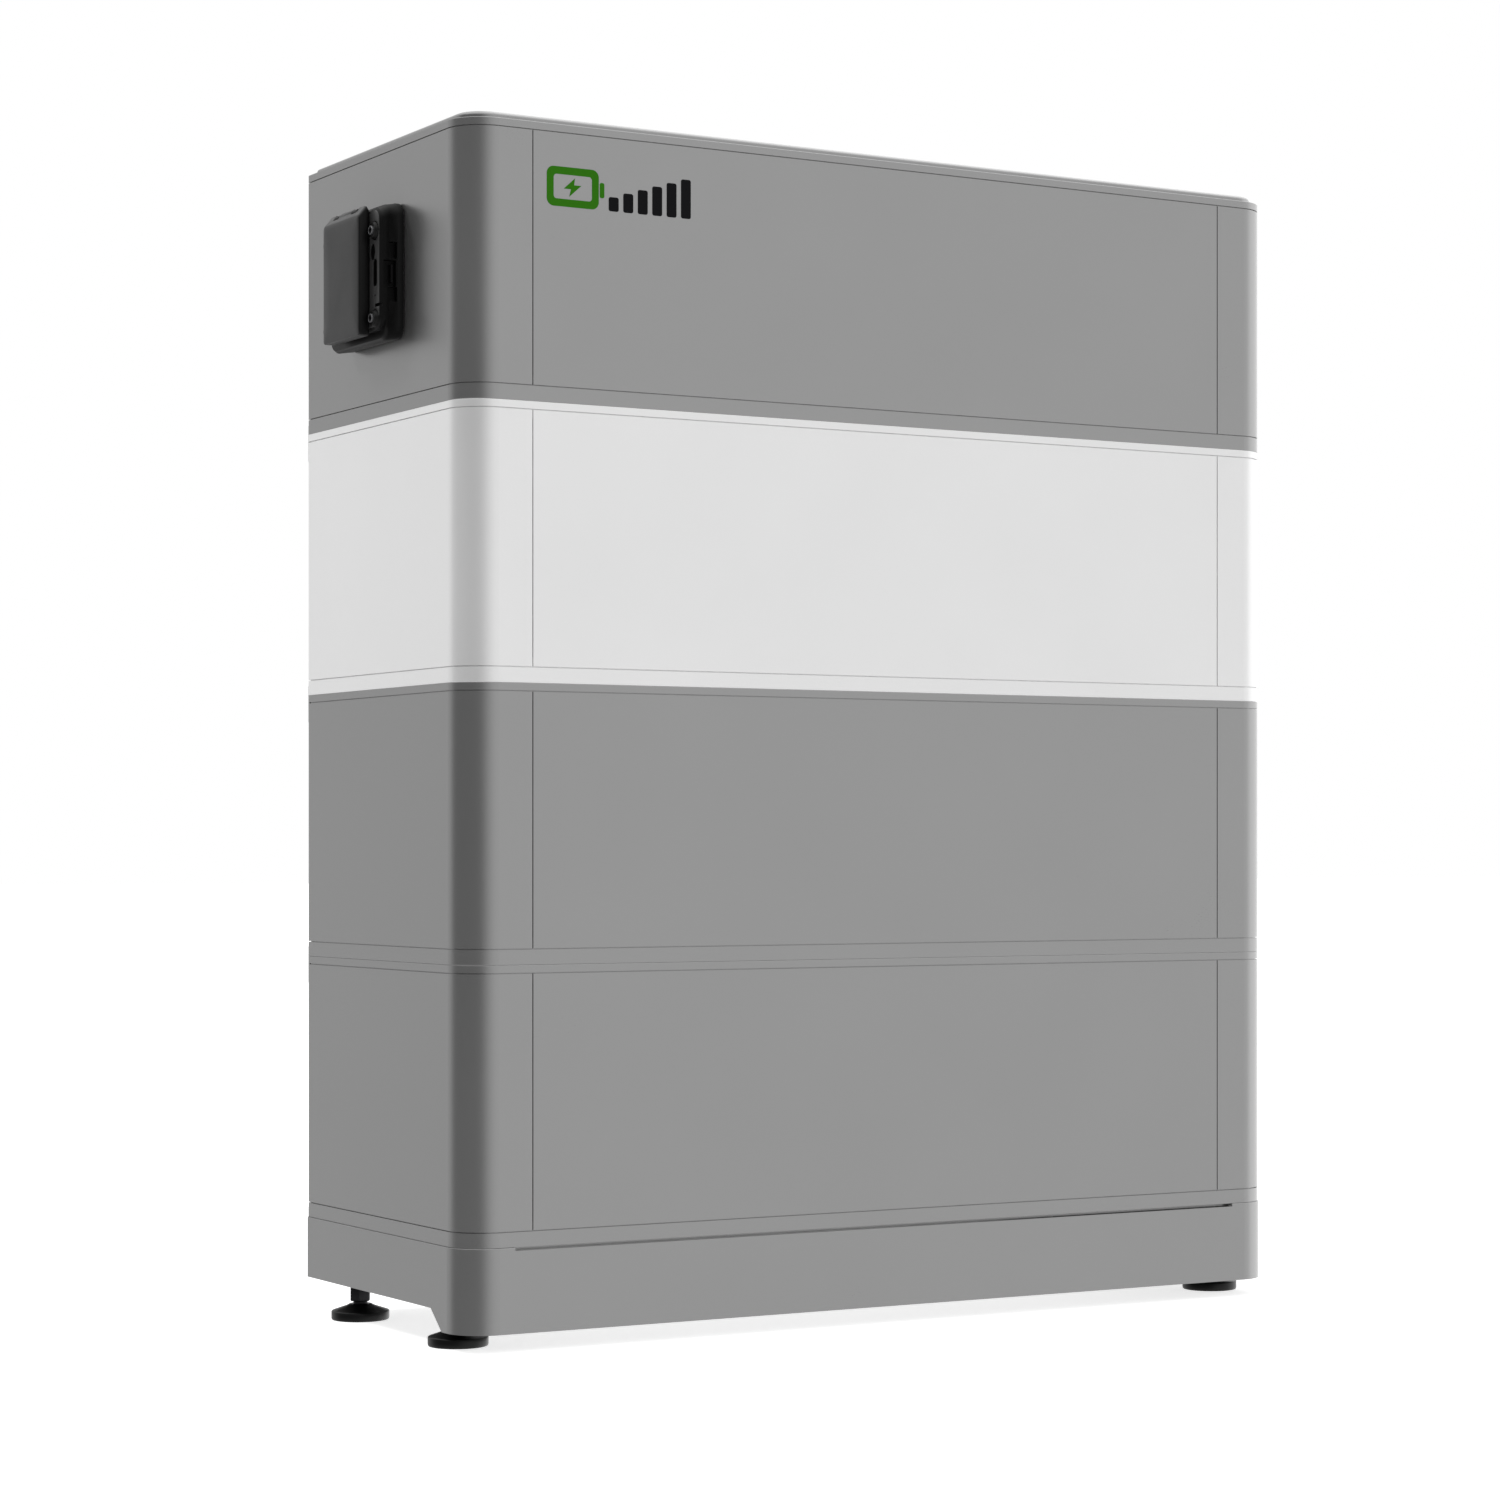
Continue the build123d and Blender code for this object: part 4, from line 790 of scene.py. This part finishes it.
# ------------------------------------------------------------------------------------ stage
@dataclass
class Studio:
    """White floor, soft surrounding light and the camera."""

    stand: Point = (-1.335376, -2.292627, 0.326643)
    yaw: float = 0.5417
    lens: float = 88.59
    shift: tuple[float, float] = (-0.0679, 0.0658)
    floor_half: float = 30.0
    gap_left: tuple[float, float] = (122.0, 156.0)
    gap_right: tuple[float, float] = (228.0, 292.0)
    key_power: float = 26.0
    key_from: Point = (-1.35, 1.15, 1.55)
    key_size: float = 0.55

    def place_camera(self) -> None:
        """Stand a level camera at the front left of the stack."""
        camera = bpy.data.cameras.new("view")
        camera.sensor_width = 36.0
        camera.lens = self.lens
        camera.shift_x, camera.shift_y = self.shift
        camera.clip_end = 100.0
        stand = bpy.data.objects.new("view", camera)
        stand.location = self.stand
        stand.rotation_euler = (math.pi / 2, 0.0, -self.yaw)
        bpy.context.scene.collection.objects.link(stand)
        bpy.context.scene.camera = stand
        bpy.context.scene.view_settings.view_transform = "Standard"

    def lay_floor(self) -> None:
        """Lay a white floor that fades into the white surroundings."""
        mesh = bpy.data.meshes.new("floor")
        half = self.floor_half
        corners = [(-half, -half, 0), (half, -half, 0), (half, half, 0), (-half, half, 0)]
        mesh.from_pydata(corners, [], [(0, 1, 2, 3)])
        floor = bpy.data.objects.new("floor", mesh)
        bpy.context.scene.collection.objects.link(floor)
        floor.visible_glossy = False
        material = bpy.data.materials.new("floor_white")
        material.use_nodes = True
        graph = Graph(material.node_tree)
        matte = graph.add("ShaderNodeBsdfDiffuse", inputs={"Color": (0.9, 0.9, 0.9, 1)})
        glow = graph.add("ShaderNodeEmission", inputs={"Strength": 0.72})
        seen = graph.add("ShaderNodeLightPath", out="Is Camera Ray")
        lifted = graph.add("ShaderNodeAddShader", inputs={0: matte, 1: glow})
        surface = graph.add("ShaderNodeMixShader", inputs={0: seen, 1: matte, 2: lifted})
        graph.add("ShaderNodeOutputMaterial", inputs={"Surface": surface})
        mesh.materials.append(material)

    def hang_lights(self) -> None:
        """Surround the stack with white cards, and with a dark gap at its front left."""
        world = bpy.data.worlds.new("studio")
        bpy.context.scene.world = world
        world.use_nodes = True
        world.cycles.sampling_method = "NONE"
        graph = Graph(world.node_tree)
        x, y, z = graph.split(graph.add("ShaderNodeTexCoord", out="Generated"))
        level = (x * x + y * y) ** 0.5
        bearing = (y * -1).bearing(x * -1) + math.pi
        right_cos = (x * 0.97 + y * 0.26) / level.most(0.001)
        near, far = (math.radians(a) for a in self.gap_left)
        shut, open_ = (math.radians(a) for a in self.gap_right)
        in_gap = bearing.rise(near, far) * (1 - bearing.rise(shut, open_))
        in_gap = in_gap * z.rise(-0.36, -0.16) * (1 - z.rise(0.34, 0.6))
        on_right = right_cos.rise(0.55, 0.9)
        on_top = z.rise(0.3, 0.85)
        front_cos = (x * 0.42 + y * -0.91) / level.most(0.001)
        on_front = front_cos.rise(0.55, 0.85)
        cards = (0.70 + on_right * 0.88 + on_front * 0.25 + on_top * 0.8) * (1 - in_gap * 0.76)
        wash = 0.54 + z * 0.2 + x * 0.24 + y * -0.04
        rays = graph.add("ShaderNodeLightPath", out="Is Camera Ray")
        seen = Wire(graph, rays.socket)
        shiny = Wire(graph, rays.socket.node.outputs["Is Glossy Ray"])
        strength = seen + (1 - seen) * (shiny * cards + (1 - shiny) * wash)
        white = {"Color": (1, 1, 1, 1), "Strength": strength}
        back = graph.add("ShaderNodeBackground", inputs=white)
        graph.add("ShaderNodeOutputWorld", inputs={"Surface": back})

    def hang_key(self) -> None:
        """Hang one soft lamp at the rear left, which models the breaker housing."""
        low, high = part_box("breaker_gasket")
        aim = (low + high) / 2
        lamp = bpy.data.lights.new("key", "AREA")
        lamp.energy = self.key_power
        lamp.size = self.key_size
        hung = bpy.data.objects.new("key", lamp)
        hung.location = aim + Vector(self.key_from)
        hung.rotation_euler = Vector(self.key_from).to_track_quat("Z", "Y").to_euler()
        hung.visible_glossy = False
        bpy.context.scene.collection.objects.link(hung)

    def build(self) -> None:
        """Set up the whole stage."""
        self.place_camera()
        self.lay_floor()
        self.hang_lights()
        self.hang_key()
        log.info("stage: camera, floor and light")


# --------------------------------------------------------------------------- frame's pieces
@dataclass
class Cases:
    """Painted sheet cases of the stack, kept from the frame and finished here."""

    finishes: Finishes

    def finish_for(self, node: str) -> Finish:
        """Choose a finish for a node of the frame by what it is."""
        f = self.finishes
        choices = (
            (("_cells",), f.film),
            (("heat_sink",), f.extrusion),
            (("clamps", "busbars"), f.plate),
            (("board",), f.board),
            (("power_parts", "plugs", "sockets"), f.black),
            (("rails",), f.ecoat),
            (("gasket",), f.rubber),
            (("breaker_body",), f.grey_plastic),
            (("foot_pad",), f.foot),
            (("foot_stem", "frame_bolts"), f.dark_steel),
            (("pins", "hinge_pin", "screws", "stud", "bezel"), f.steel),
            (("breaker_", "receptacles", "gland", "button"), f.black),
            (("module_3",), f.light),
        )
        for words, finish in choices:
            if any(word in node for word in words):
                return finish
        return f.grey

    def dress(self) -> None:
        """Give every node of the frame its finish."""
        for name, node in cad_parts.items():
            material = self.finishes.of(self.finish_for(name))
            for place in node.material_slots:
                place.material = material
        log.info("cases: %d nodes finished", len(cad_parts))


@dataclass
class ChargeMark:
    """Printed mark on the control panel: a battery outline and rising charge bars."""

    workshop: Workshop
    middle_height: float = 759.0
    left: float = -266.0
    battery: tuple[float, float] = (38.0, 26.0)
    line: float = 5.0
    bars: int = 6
    bar_pitch: float = 10.8
    bar_width: float = 7.4
    ink: float = 0.12

    def seat(self) -> Matrix:
        """Stand the mark on the control unit's front panel."""
        low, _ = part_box("control_front_panel")
        face = Seat((self.left * MM, low.y, self.middle_height * MM), (1, 0, 0), (0, 0, 1),
                    (0, -1, 0))
        return face.matrix()

    def print_battery(self) -> None:
        """Print the outline, its terminal and the bolt inside it."""
        width, height = self.battery
        seat = self.seat()
        outer = rounded(width, height, 5.0, 8, (width / 2, 0))
        inner = rounded(width - 2 * self.line, height - 2 * self.line, 2.2, 8, (width / 2, 0))
        blank = Blank("charge_mark_green")
        rings = []
        for loop, rise in ((outer, 0.01), (outer, self.ink), (inner, self.ink), (inner, 0.01)):
            spots = (seat @ Vector((u * MM, v * MM, rise * MM)) for u, v in loop)
            rings.append([blank.bm.verts.new(spot) for spot in spots])
        for near, far in zip(rings, rings[1:] + rings[:1]):
            for n in range(len(near)):
                after = (n + 1) % len(near)
                blank.bm.faces.new((near[n], near[after], far[after], far[n]))
        nub = rounded(3.4, 10.0, 1.2, 5, (width + 2.4, 0))
        blank.sections([(nub, 0.01), (nub, self.ink)], seat)
        bolt = [(20.6, 6.2), (12.4, -1.2), (17.6, -1.2), (16.4, -6.2), (25.2, 1.6), (19.9, 1.6)]
        blank.sections([(bolt, 0.01), (bolt, self.ink)], seat)
        finishes = self.workshop.finishes
        self.workshop.settle(blank.object(), finishes.green_ink, "grey_paint", smooth=20.0)

    def print_bars(self) -> None:
        """Print the rising bars beside the battery."""
        seat = self.seat()
        blank = Blank("charge_mark_bars")
        start = self.battery[0] + 11.0
        for n in range(self.bars):
            tall = self.battery[1] * (0.36 + 0.64 * n / (self.bars - 1))
            middle = (start + n * self.bar_pitch, (tall - self.battery[1]) / 2)
            bar = rounded(self.bar_width, tall, 1.4, 5, middle)
            blank.sections([(bar, 0.01), (bar, self.ink)], seat)
        finishes = self.workshop.finishes
        self.workshop.settle(blank.object(), finishes.dark_ink, "grey_paint", smooth=20.0)

    def build(self) -> None:
        """Print the whole mark."""
        self.print_battery()
        self.print_bars()


@dataclass
class BreakerHousing:
    """Moulded housing on the control unit's left end, with its flap and screws."""

    workshop: Workshop
    length: float = 92.0
    height: float = 90.6
    corner: float = 9.0
    rise: float = 18.0
    gasket: float = 1.5
    top_draft: float = 4.3
    bottom_draft: float = 5.9
    pocket: tuple[float, float, float] = (46.0, 64.0, 12.0)
    window: tuple[float, float] = (38.0, 47.0)
    bolt_across: float = 38.0
    bolt_heights: tuple[float, float] = (-32.4, 25.8)
    face: float = 18.5
    knuckle_radius: float = 2.0
    boss: float = 5.9
    boss_height: float = 2.6
    cover: tuple[float, float, float] = (60.0, 80.0, 27.0)
    cover_drop: float = 3.0
    hood: float = 6.6
    hinge: tuple[float, float] = (41.0, 21.2)

    def seat(self) -> Seat:
        """Return the housing's place on the left end of the control unit."""
        low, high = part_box("breaker_gasket")
        middle = (low + high) / 2
        return Seat((high.x, middle.y, middle.z), (0, -1, 0), (0, 0, 1), (-1, 0, 0))

    def layer(self, inset: float, top: float, bottom: float) -> Loop:
        """Return the housing's outline, drawn in at the top and the bottom."""
        height = self.height - 2 * inset - top - bottom
        centre = (0.0, (bottom - top) / 2)
        return rounded(self.length - 2 * inset, height, self.corner - inset, 8, centre)

    def frame(self) -> None:
        """Model the frame: drafted block, bosses, catch plates and side pockets."""
        seat = self.seat().matrix()
        top, bottom = self.top_draft, self.bottom_draft
        body = Blank("breaker_housing").sections([
            (self.layer(0.0, 0.0, 0.0), self.gasket), (self.layer(0.0, 0.0, -0.4), 4.2),
            (self.layer(0.3, 0.1, -0.8), 5.0), (self.layer(0.4, 1.0, -1.9), 11.4),
            (self.layer(0.1, 1.7, -1.5), 12.2), (self.layer(0.1, 2.4, -0.1), 14.0),
            (self.layer(0.1, 2.4, bottom - 0.7), 14.1),
            (self.layer(0.1, top - 0.7, bottom - 0.5), 17.0),
            (self.layer(1.2, top, bottom), self.rise)], seat).object()
        length, height, floor = self.pocket
        collar = rounded(length + 5.2, height + 5.2, 3.0)
        combine(body, slab(collar, 15.0, 20.0, seat), "UNION")
        plate = Blank("breaker_face_plate").sections(
            [(self.layer(1.5, top, bottom), self.rise - 0.3),
             (self.layer(1.7, top, bottom), self.face)], seat).object()
        for side in (-1, 1):
            self.dress_side(body, plate, seat, side)
        hole = rounded(length, height, 2.0)
        combine(body, slab(hole, floor, 30.0, seat), "DIFFERENCE")
        combine(plate, slab(collar, 10.0, 30.0, seat), "DIFFERENCE")
        hole = rounded(*self.window, 1.0)
        combine(body, slab(hole, 0.0, 30.0, seat), "DIFFERENCE")
        for side in (-1, 1):
            lug = self.knuckle(side * 15.0, 7.0, self.rise - 0.5)
            combine(body, lug, "UNION")
            way = rounded(8.4, 8.0, 0.5, 2, (side * 15.0, self.hinge[0]))
            combine(plate, slab(way, 10.0, 24.3, seat), "DIFFERENCE")
        finishes = self.workshop.finishes
        # The frame is one black moulding: its body takes the near-black copy as painted shade on
        # its sides, and the face plate takes the lighter copy as painted light on its outward
        # face.
        self.workshop.settle(soften(body, 0.35), finishes.painted_shade_and_ring, "black_plastic",
                             replaces=["breaker_frame"])
        self.workshop.settle(soften(plate, 0.12), finishes.face, "black_plastic")

    def dress_side(self, body: bpy.types.Object, plate: bpy.types.Object, seat: Matrix,
                   side: int) -> None:
        """Add one side's bosses, then cut the face's recesses and the side's pockets."""
        x = side * 40.0
        edge = side * self.length / 2
        for v in self.bolt_heights:
            place = seat @ Matrix.Translation((side * self.bolt_across * MM, v * MM, 0))
            profile = [(self.boss, 15.0), (self.boss, self.rise + 0.8),
                       (self.boss - 0.9, self.rise + self.boss_height)]
            combine(plate, Blank("clearance").turned(
                [(self.boss + 0.5, 10.0), (self.boss + 0.5, 30.0)], place, 36), "DIFFERENCE")
            combine(body, Blank("boss").turned(profile, place, 36), "UNION")
        crescent = [(x - side * 5.2 + 3.8 * math.cos(a), 12.0 + 5.7 * math.sin(a))
                    for a in (math.tau * n / 20 for n in range(20))]
        slot = rounded(6.4, 18.3, 2.4, 5, (x - side * 1.4, -2.1))
        for loop, floor in ((crescent, 16.6), (slot, 16.2),
                            (circle(1.1, 14, (x - side * 1.6, -17.0)), 16.6),
                            (rounded(16.0, 2.2, 0.6, 3, (edge, -23.9)), 16.4)):
            for shape in (body, plate):
                combine(shape, slab(loop, floor, 24.0, seat), "DIFFERENCE")
        for v, tall, low, high in ((12.6, 11.1, 5.8, 11.2), (-3.0, 17.6, 6.6, 15.6),
                                   (-16.6, 9.4, 5.8, 11.2)):
            hole = rounded(9.0, tall, 0.5, 2, (edge, v))
            combine(body, slab(hole, low, high, seat), "DIFFERENCE")
        bar = rounded(4.4, 12.0, 0.5, 3, (edge - side * 2.8, -2.8))
        combine(body, slab(bar, 8.8, 10.2, seat), "UNION")

    def knuckle(self, u: float, length: float, foot: float) -> Blank:
        """Return one hinge knuckle, with the web that carries it."""
        v, rise = self.hinge
        seat = self.seat()
        round_ = self.knuckle_radius
        loop = [(rise + round_ * math.cos(a), round_ * math.sin(a))
                for a in (math.pi * (n / 12 - 0.5) for n in range(13))]
        loop += [(foot, round_), (foot, -round_)]
        turned = Matrix.Translation(seat.point(u - length / 2, v, 0.0)) @ Matrix(
            (seat.out, seat.up, seat.across)).transposed().to_4x4()
        return Blank("knuckle").sections([(loop, 0.0), (loop, length)], turned)

    def flap(self) -> None:
        """Model the flap: crowned, hollowed shell with a hood, and its hinge knuckle."""
        seat = self.seat().matrix()
        length, height, top = self.cover
        back = self.rise + 1.0
        hood = self.hood
        low = -self.cover_drop
        outer = [(length, height + hood - 1.8, 3.0, back, hood / 2 - 0.9),
                 (length, height + hood, 3.0, back + 1.2, hood / 2),
                 (length, height + hood, 3.0, self.hinge[1], hood / 2),
                 (length, height + 0.4, 2.4, 26.0, 0.2),
                 (length - 0.6, height - 0.6, 2.4, 26.4, 0.0),
                 (length - 5.0, height - 7.0, 3.6, 26.75, 0.0),
                 (length - 22.0, height - 28.0, 5.0, top, 0.0)]
        shell = Blank("breaker_flap").sections(
            [(rounded(w, h, r, 6, (0.0, low + up)), z) for w, h, r, z, up in outer], seat).object()
        hollow = rounded(length - 4.0, height - 4.0, 1.5, 6, (0.0, low))
        combine(shell, slab(hollow, back - 1, 24.6, seat), "DIFFERENCE")
        for u in (-15.0, 15.0):
            way = rounded(8.4, 9.0, 0.5, 2, (u, self.hinge[0] + 1.2))
            combine(shell, slab(way, 10.0, 24.0, seat), "DIFFERENCE")
        combine(shell, self.knuckle(0.0, 22.0, self.hinge[1] - 1.3), "UNION")
        soften(shell, 0.3)
        finishes = self.workshop.finishes
        self.workshop.settle(shell, finishes.black, "black_plastic", body="flap",
                             replaces=["breaker_cover"])
        # The side walls across the seat take the near-black, duller copy of the moulding: painted
        # shade on the flap's side walls.
        shell.data.materials.append(finishes.of(finishes.painted_shade_and_ring))
        across = self.seat().across
        for face in shell.data.polygons:
            face.material_index = int(abs(face.normal.dot(across)) > 0.7)

    def screws(self) -> None:
        """Stand socket-head screws on the bosses, with a ring of lighter steel round each head as
        a painted glint on its edge.
        """
        seat = self.seat()
        head = Blank("screw_head")
        socket = circle(1.75, 6)
        head.sections([(circle(2.7, 6), 0.0), (circle(2.7, 6), 1.1)], Matrix())
        head = head.object()
        head = combine(head, slab(socket, 0.2, 2.0, Matrix()), "DIFFERENCE")
        # A thin ring of lighter steel round each dark head: a painted glint on the head's edge.
        rim = Blank("screw_rim").object()
        rim = ring_of(rim, 3.0, 2.55, 1.35)
        across = self.bolt_across
        top = self.rise + self.boss_height
        places = [seat.point(u, v, top) for u in (-across, across) for v in self.bolt_heights]
        finishes = self.workshop.finishes
        for name, shape, finish, slot, nodes in (
                ("breaker_screw_heads", head, finishes.dark_steel, "dark_steel",
                 ["breaker_frame_bolts"]),
                ("breaker_screw_rims", rim, finishes.painted_glint_steel, "steel", [])):
            row = repeat(name, shape, places, seat.matrix(), finishes.of(finish), seed=7)
            self.workshop.settle(row, finish, slot, replaces=nodes)

    def build(self) -> None:
        """Model the whole housing."""
        self.frame()
        self.flap()
        self.screws()


@dataclass
class LevellingFoot:
    """One foot: a turned pad, and a hexagon with a threaded stem above it."""

    workshop: Workshop
    place: str
    radius: float = 20.0
    rim: float = 6.5
    height: float = 11.0
    neck: float = 7.5
    flats: float = 13.0
    thread_radius: float = 4.0

    def pad(self) -> None:
        """Turn the pad, with a soft rim and a rounded sole edge."""
        node = f"{self.place}_foot_pad"
        low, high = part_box(node)
        seat = Matrix.Translation(((low.x + high.x) / 2, (low.y + high.y) / 2, 0.0))
        profile = [(self.radius - 1.4, 0.0), (self.radius - 0.5, 0.25), (self.radius - 0.15, 0.9),
                   (self.radius, 1.6), (self.radius, self.rim - 0.7),
                   (self.radius - 0.25, self.rim - 0.2), (self.radius - 0.8, self.rim + 0.1),
                   (self.neck + 2.0, self.height - 1.1), (self.neck + 0.7, self.height - 0.3),
                   (self.neck, self.height), (5.05, self.height), (5.05, 4.0)]
        blank = Blank(f"{self.place}_pad_disc").turned(profile, seat, 72)
        finishes = self.workshop.finishes
        self.workshop.settle(blank.object(), finishes.foot, "foot_plastic",
                             body=f"{self.place}_pad", replaces=[node])

    def stem(self) -> None:
        """Build the hexagon and the stem, then wind the thread round it."""
        node = f"{self.place}_foot_stem"
        low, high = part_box(node)
        middle = ((low.x + high.x) / 2, (low.y + high.y) / 2)
        seat = Matrix.Translation((*middle, 0.0))
        bottom = self.height + 1.8
        top = 22.8
        corner = self.flats / 2 / math.cos(math.pi / 6)
        shape = Blank(f"{self.place}_hexagon")
        shape.sections([(circle(corner - 0.7, 6), bottom), (circle(corner, 6), bottom + 0.5),
                        (circle(corner, 6), top - 0.5), (circle(corner - 0.7, 6), top)], seat)
        shape.turned([(4.9, 4.3), (4.9, bottom + 1.0)], seat, 32)
        root = self.thread_radius - 0.55
        shape.turned([(root, top - 1.0), (root, high.z / MM - 1.0), (root - 0.9, high.z / MM)],
                     seat, 32)
        finishes = self.workshop.finishes
        body = f"{self.place}_stem"
        hexagon = soften(shape.object(), 0.2)
        self.workshop.settle(hexagon, finishes.dark_steel, "dark_steel", body, [node])
        length = high.z / MM - top - 1.6
        turns = length / 1.25
        ridge = thread(f"{self.place}_thread", turns, root + 0.1, 0.45, length,
                       (*middle, (top + 0.5) * MM), finishes.of(finishes.dark_steel))
        self.workshop.settle(ridge, finishes.dark_steel, "dark_steel", body)

    def build(self) -> None:
        """Model the whole foot."""
        self.pad()
        self.stem()


@dataclass
class CableSide:
    """Details of the right end: ribbed grips, polarity rings and the ring mark on the button."""

    workshop: Workshop
    receptacles: tuple[tuple[float, float], ...] = ((-30.0, 25.0), (12.0, 25.0))
    gland: tuple[float, float] = (54.0, 25.0)
    button: tuple[float, float] = (-70.0, 0.0)
    grip_radius: float = 8.5
    dome_radius: float = 11.0
    ribs: int = 22
    rib_depth: float = 0.7
    ring_rise: float = 20.5

    def seat(self, u: float, v: float, rise: float) -> Seat:
        """Return a place on the right end of the control unit."""
        _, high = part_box("control_right_end")
        low_gasket, high_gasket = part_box("breaker_gasket")
        level = (low_gasket.z + high_gasket.z) / 2
        return Seat((high.x + rise * MM, u * MM, level + v * MM), (0, 1, 0), (0, 0, 1), (1, 0, 0))

    def grips(self) -> None:
        """Stand ribs round the barrels of the receptacles and round the gland's dome nut."""
        finishes = self.workshop.finishes
        rings = [("receptacle_grip_left", self.receptacles[0], self.grip_radius, 11.0, 12.0),
                 ("receptacle_grip_right", self.receptacles[1], self.grip_radius, 11.0, 12.0),
                 ("gland_grip", self.gland, self.dome_radius, 12.0, 11.0)]
        for name, (u, v), radius, rise, length in rings:
            ring = rib_ring(name, self.ribs, radius, (self.rib_depth, 0.9, length),
                            self.seat(u, v, rise).matrix(), finishes.of(finishes.black))
            self.workshop.settle(ring, finishes.black, "black_plastic")

    def rings(self) -> None:
        """Put a polarity ring round each receptacle and a bright one on the button."""
        finishes = self.workshop.finishes
        _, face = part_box("control_right_end")
        for name, (u, v), finish in (
                ("receptacle_ring_negative", self.receptacles[0], finishes.painted_shade_and_ring),
                ("receptacle_ring_positive", self.receptacles[1], finishes.warm_ring)):
            ring = ring_of(Blank(name).object(), 9.1, 8.3, 1.8)
            ring.data.transform(self.seat(u, v, self.ring_rise).matrix())
            self.workshop.settle(ring, finish, "black_plastic")
        _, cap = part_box("start_button")
        rise = (cap.x - face.x) / MM - 0.05
        mark = ring_of(Blank("button_mark_ring").object(), 3.6, 2.8, 0.15)
        mark.data.transform(self.seat(*self.button, rise).matrix())
        self.workshop.settle(mark, finishes.light, "black_plastic", body="button")

    def build(self) -> None:
        """Model the whole cable side."""
        self.grips()
        self.rings()


@dataclass
class RearFixings:
    """Screws that hold the rear panels, and their washers."""

    workshop: Workshop
    inset: float = 9.0
    columns: int = 4
    head: float = 3.6
    proud: float = 1.3

    def build(self) -> None:
        """Stand a row of pan-head screws along the top and bottom of every rear panel."""
        head = Blank("screw").turned([(self.head, 0.0), (self.head, 0.5), (self.head - 0.8, 1.1),
                                      (1.6, self.proud), (1.5, 0.6)], Matrix(), 16).object()
        places = []
        for unit in ("module_1", "module_2", "module_3", "control"):
            low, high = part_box(f"{unit}_rear_panel")
            edge = self.inset * MM
            step = (high.x - low.x - 2 * edge) / (self.columns - 1)
            for z in (low.z + edge, high.z - edge):
                places += [Vector((low.x + edge + step * n, high.y, z))
                           for n in range(self.columns)]
        seat = Seat((0, 0, 0), (-1, 0, 0), (0, 0, 1), (0, 1, 0)).matrix()
        finishes = self.workshop.finishes
        row = repeat("rear_panel_screws", head, places, seat, finishes.of(finishes.steel), seed=3)
        self.workshop.settle(row, finishes.steel, "steel")


def main() -> None:
    """Build the stage and the stack, piece by piece."""
    logging.basicConfig(level=logging.INFO, format="%(name)s: %(message)s")
    finishes = Finishes()
    Studio().build()
    Cases(finishes).dress()
    workshop = Workshop(finishes)
    ChargeMark(workshop).build()
    BreakerHousing(workshop).build()
    for place in ("front_left", "front_right", "rear_left", "rear_right"):
        LevellingFoot(workshop, place).build()
    CableSide(workshop).build()
    RearFixings(workshop).build()


if __name__ == "__main__":
    main()
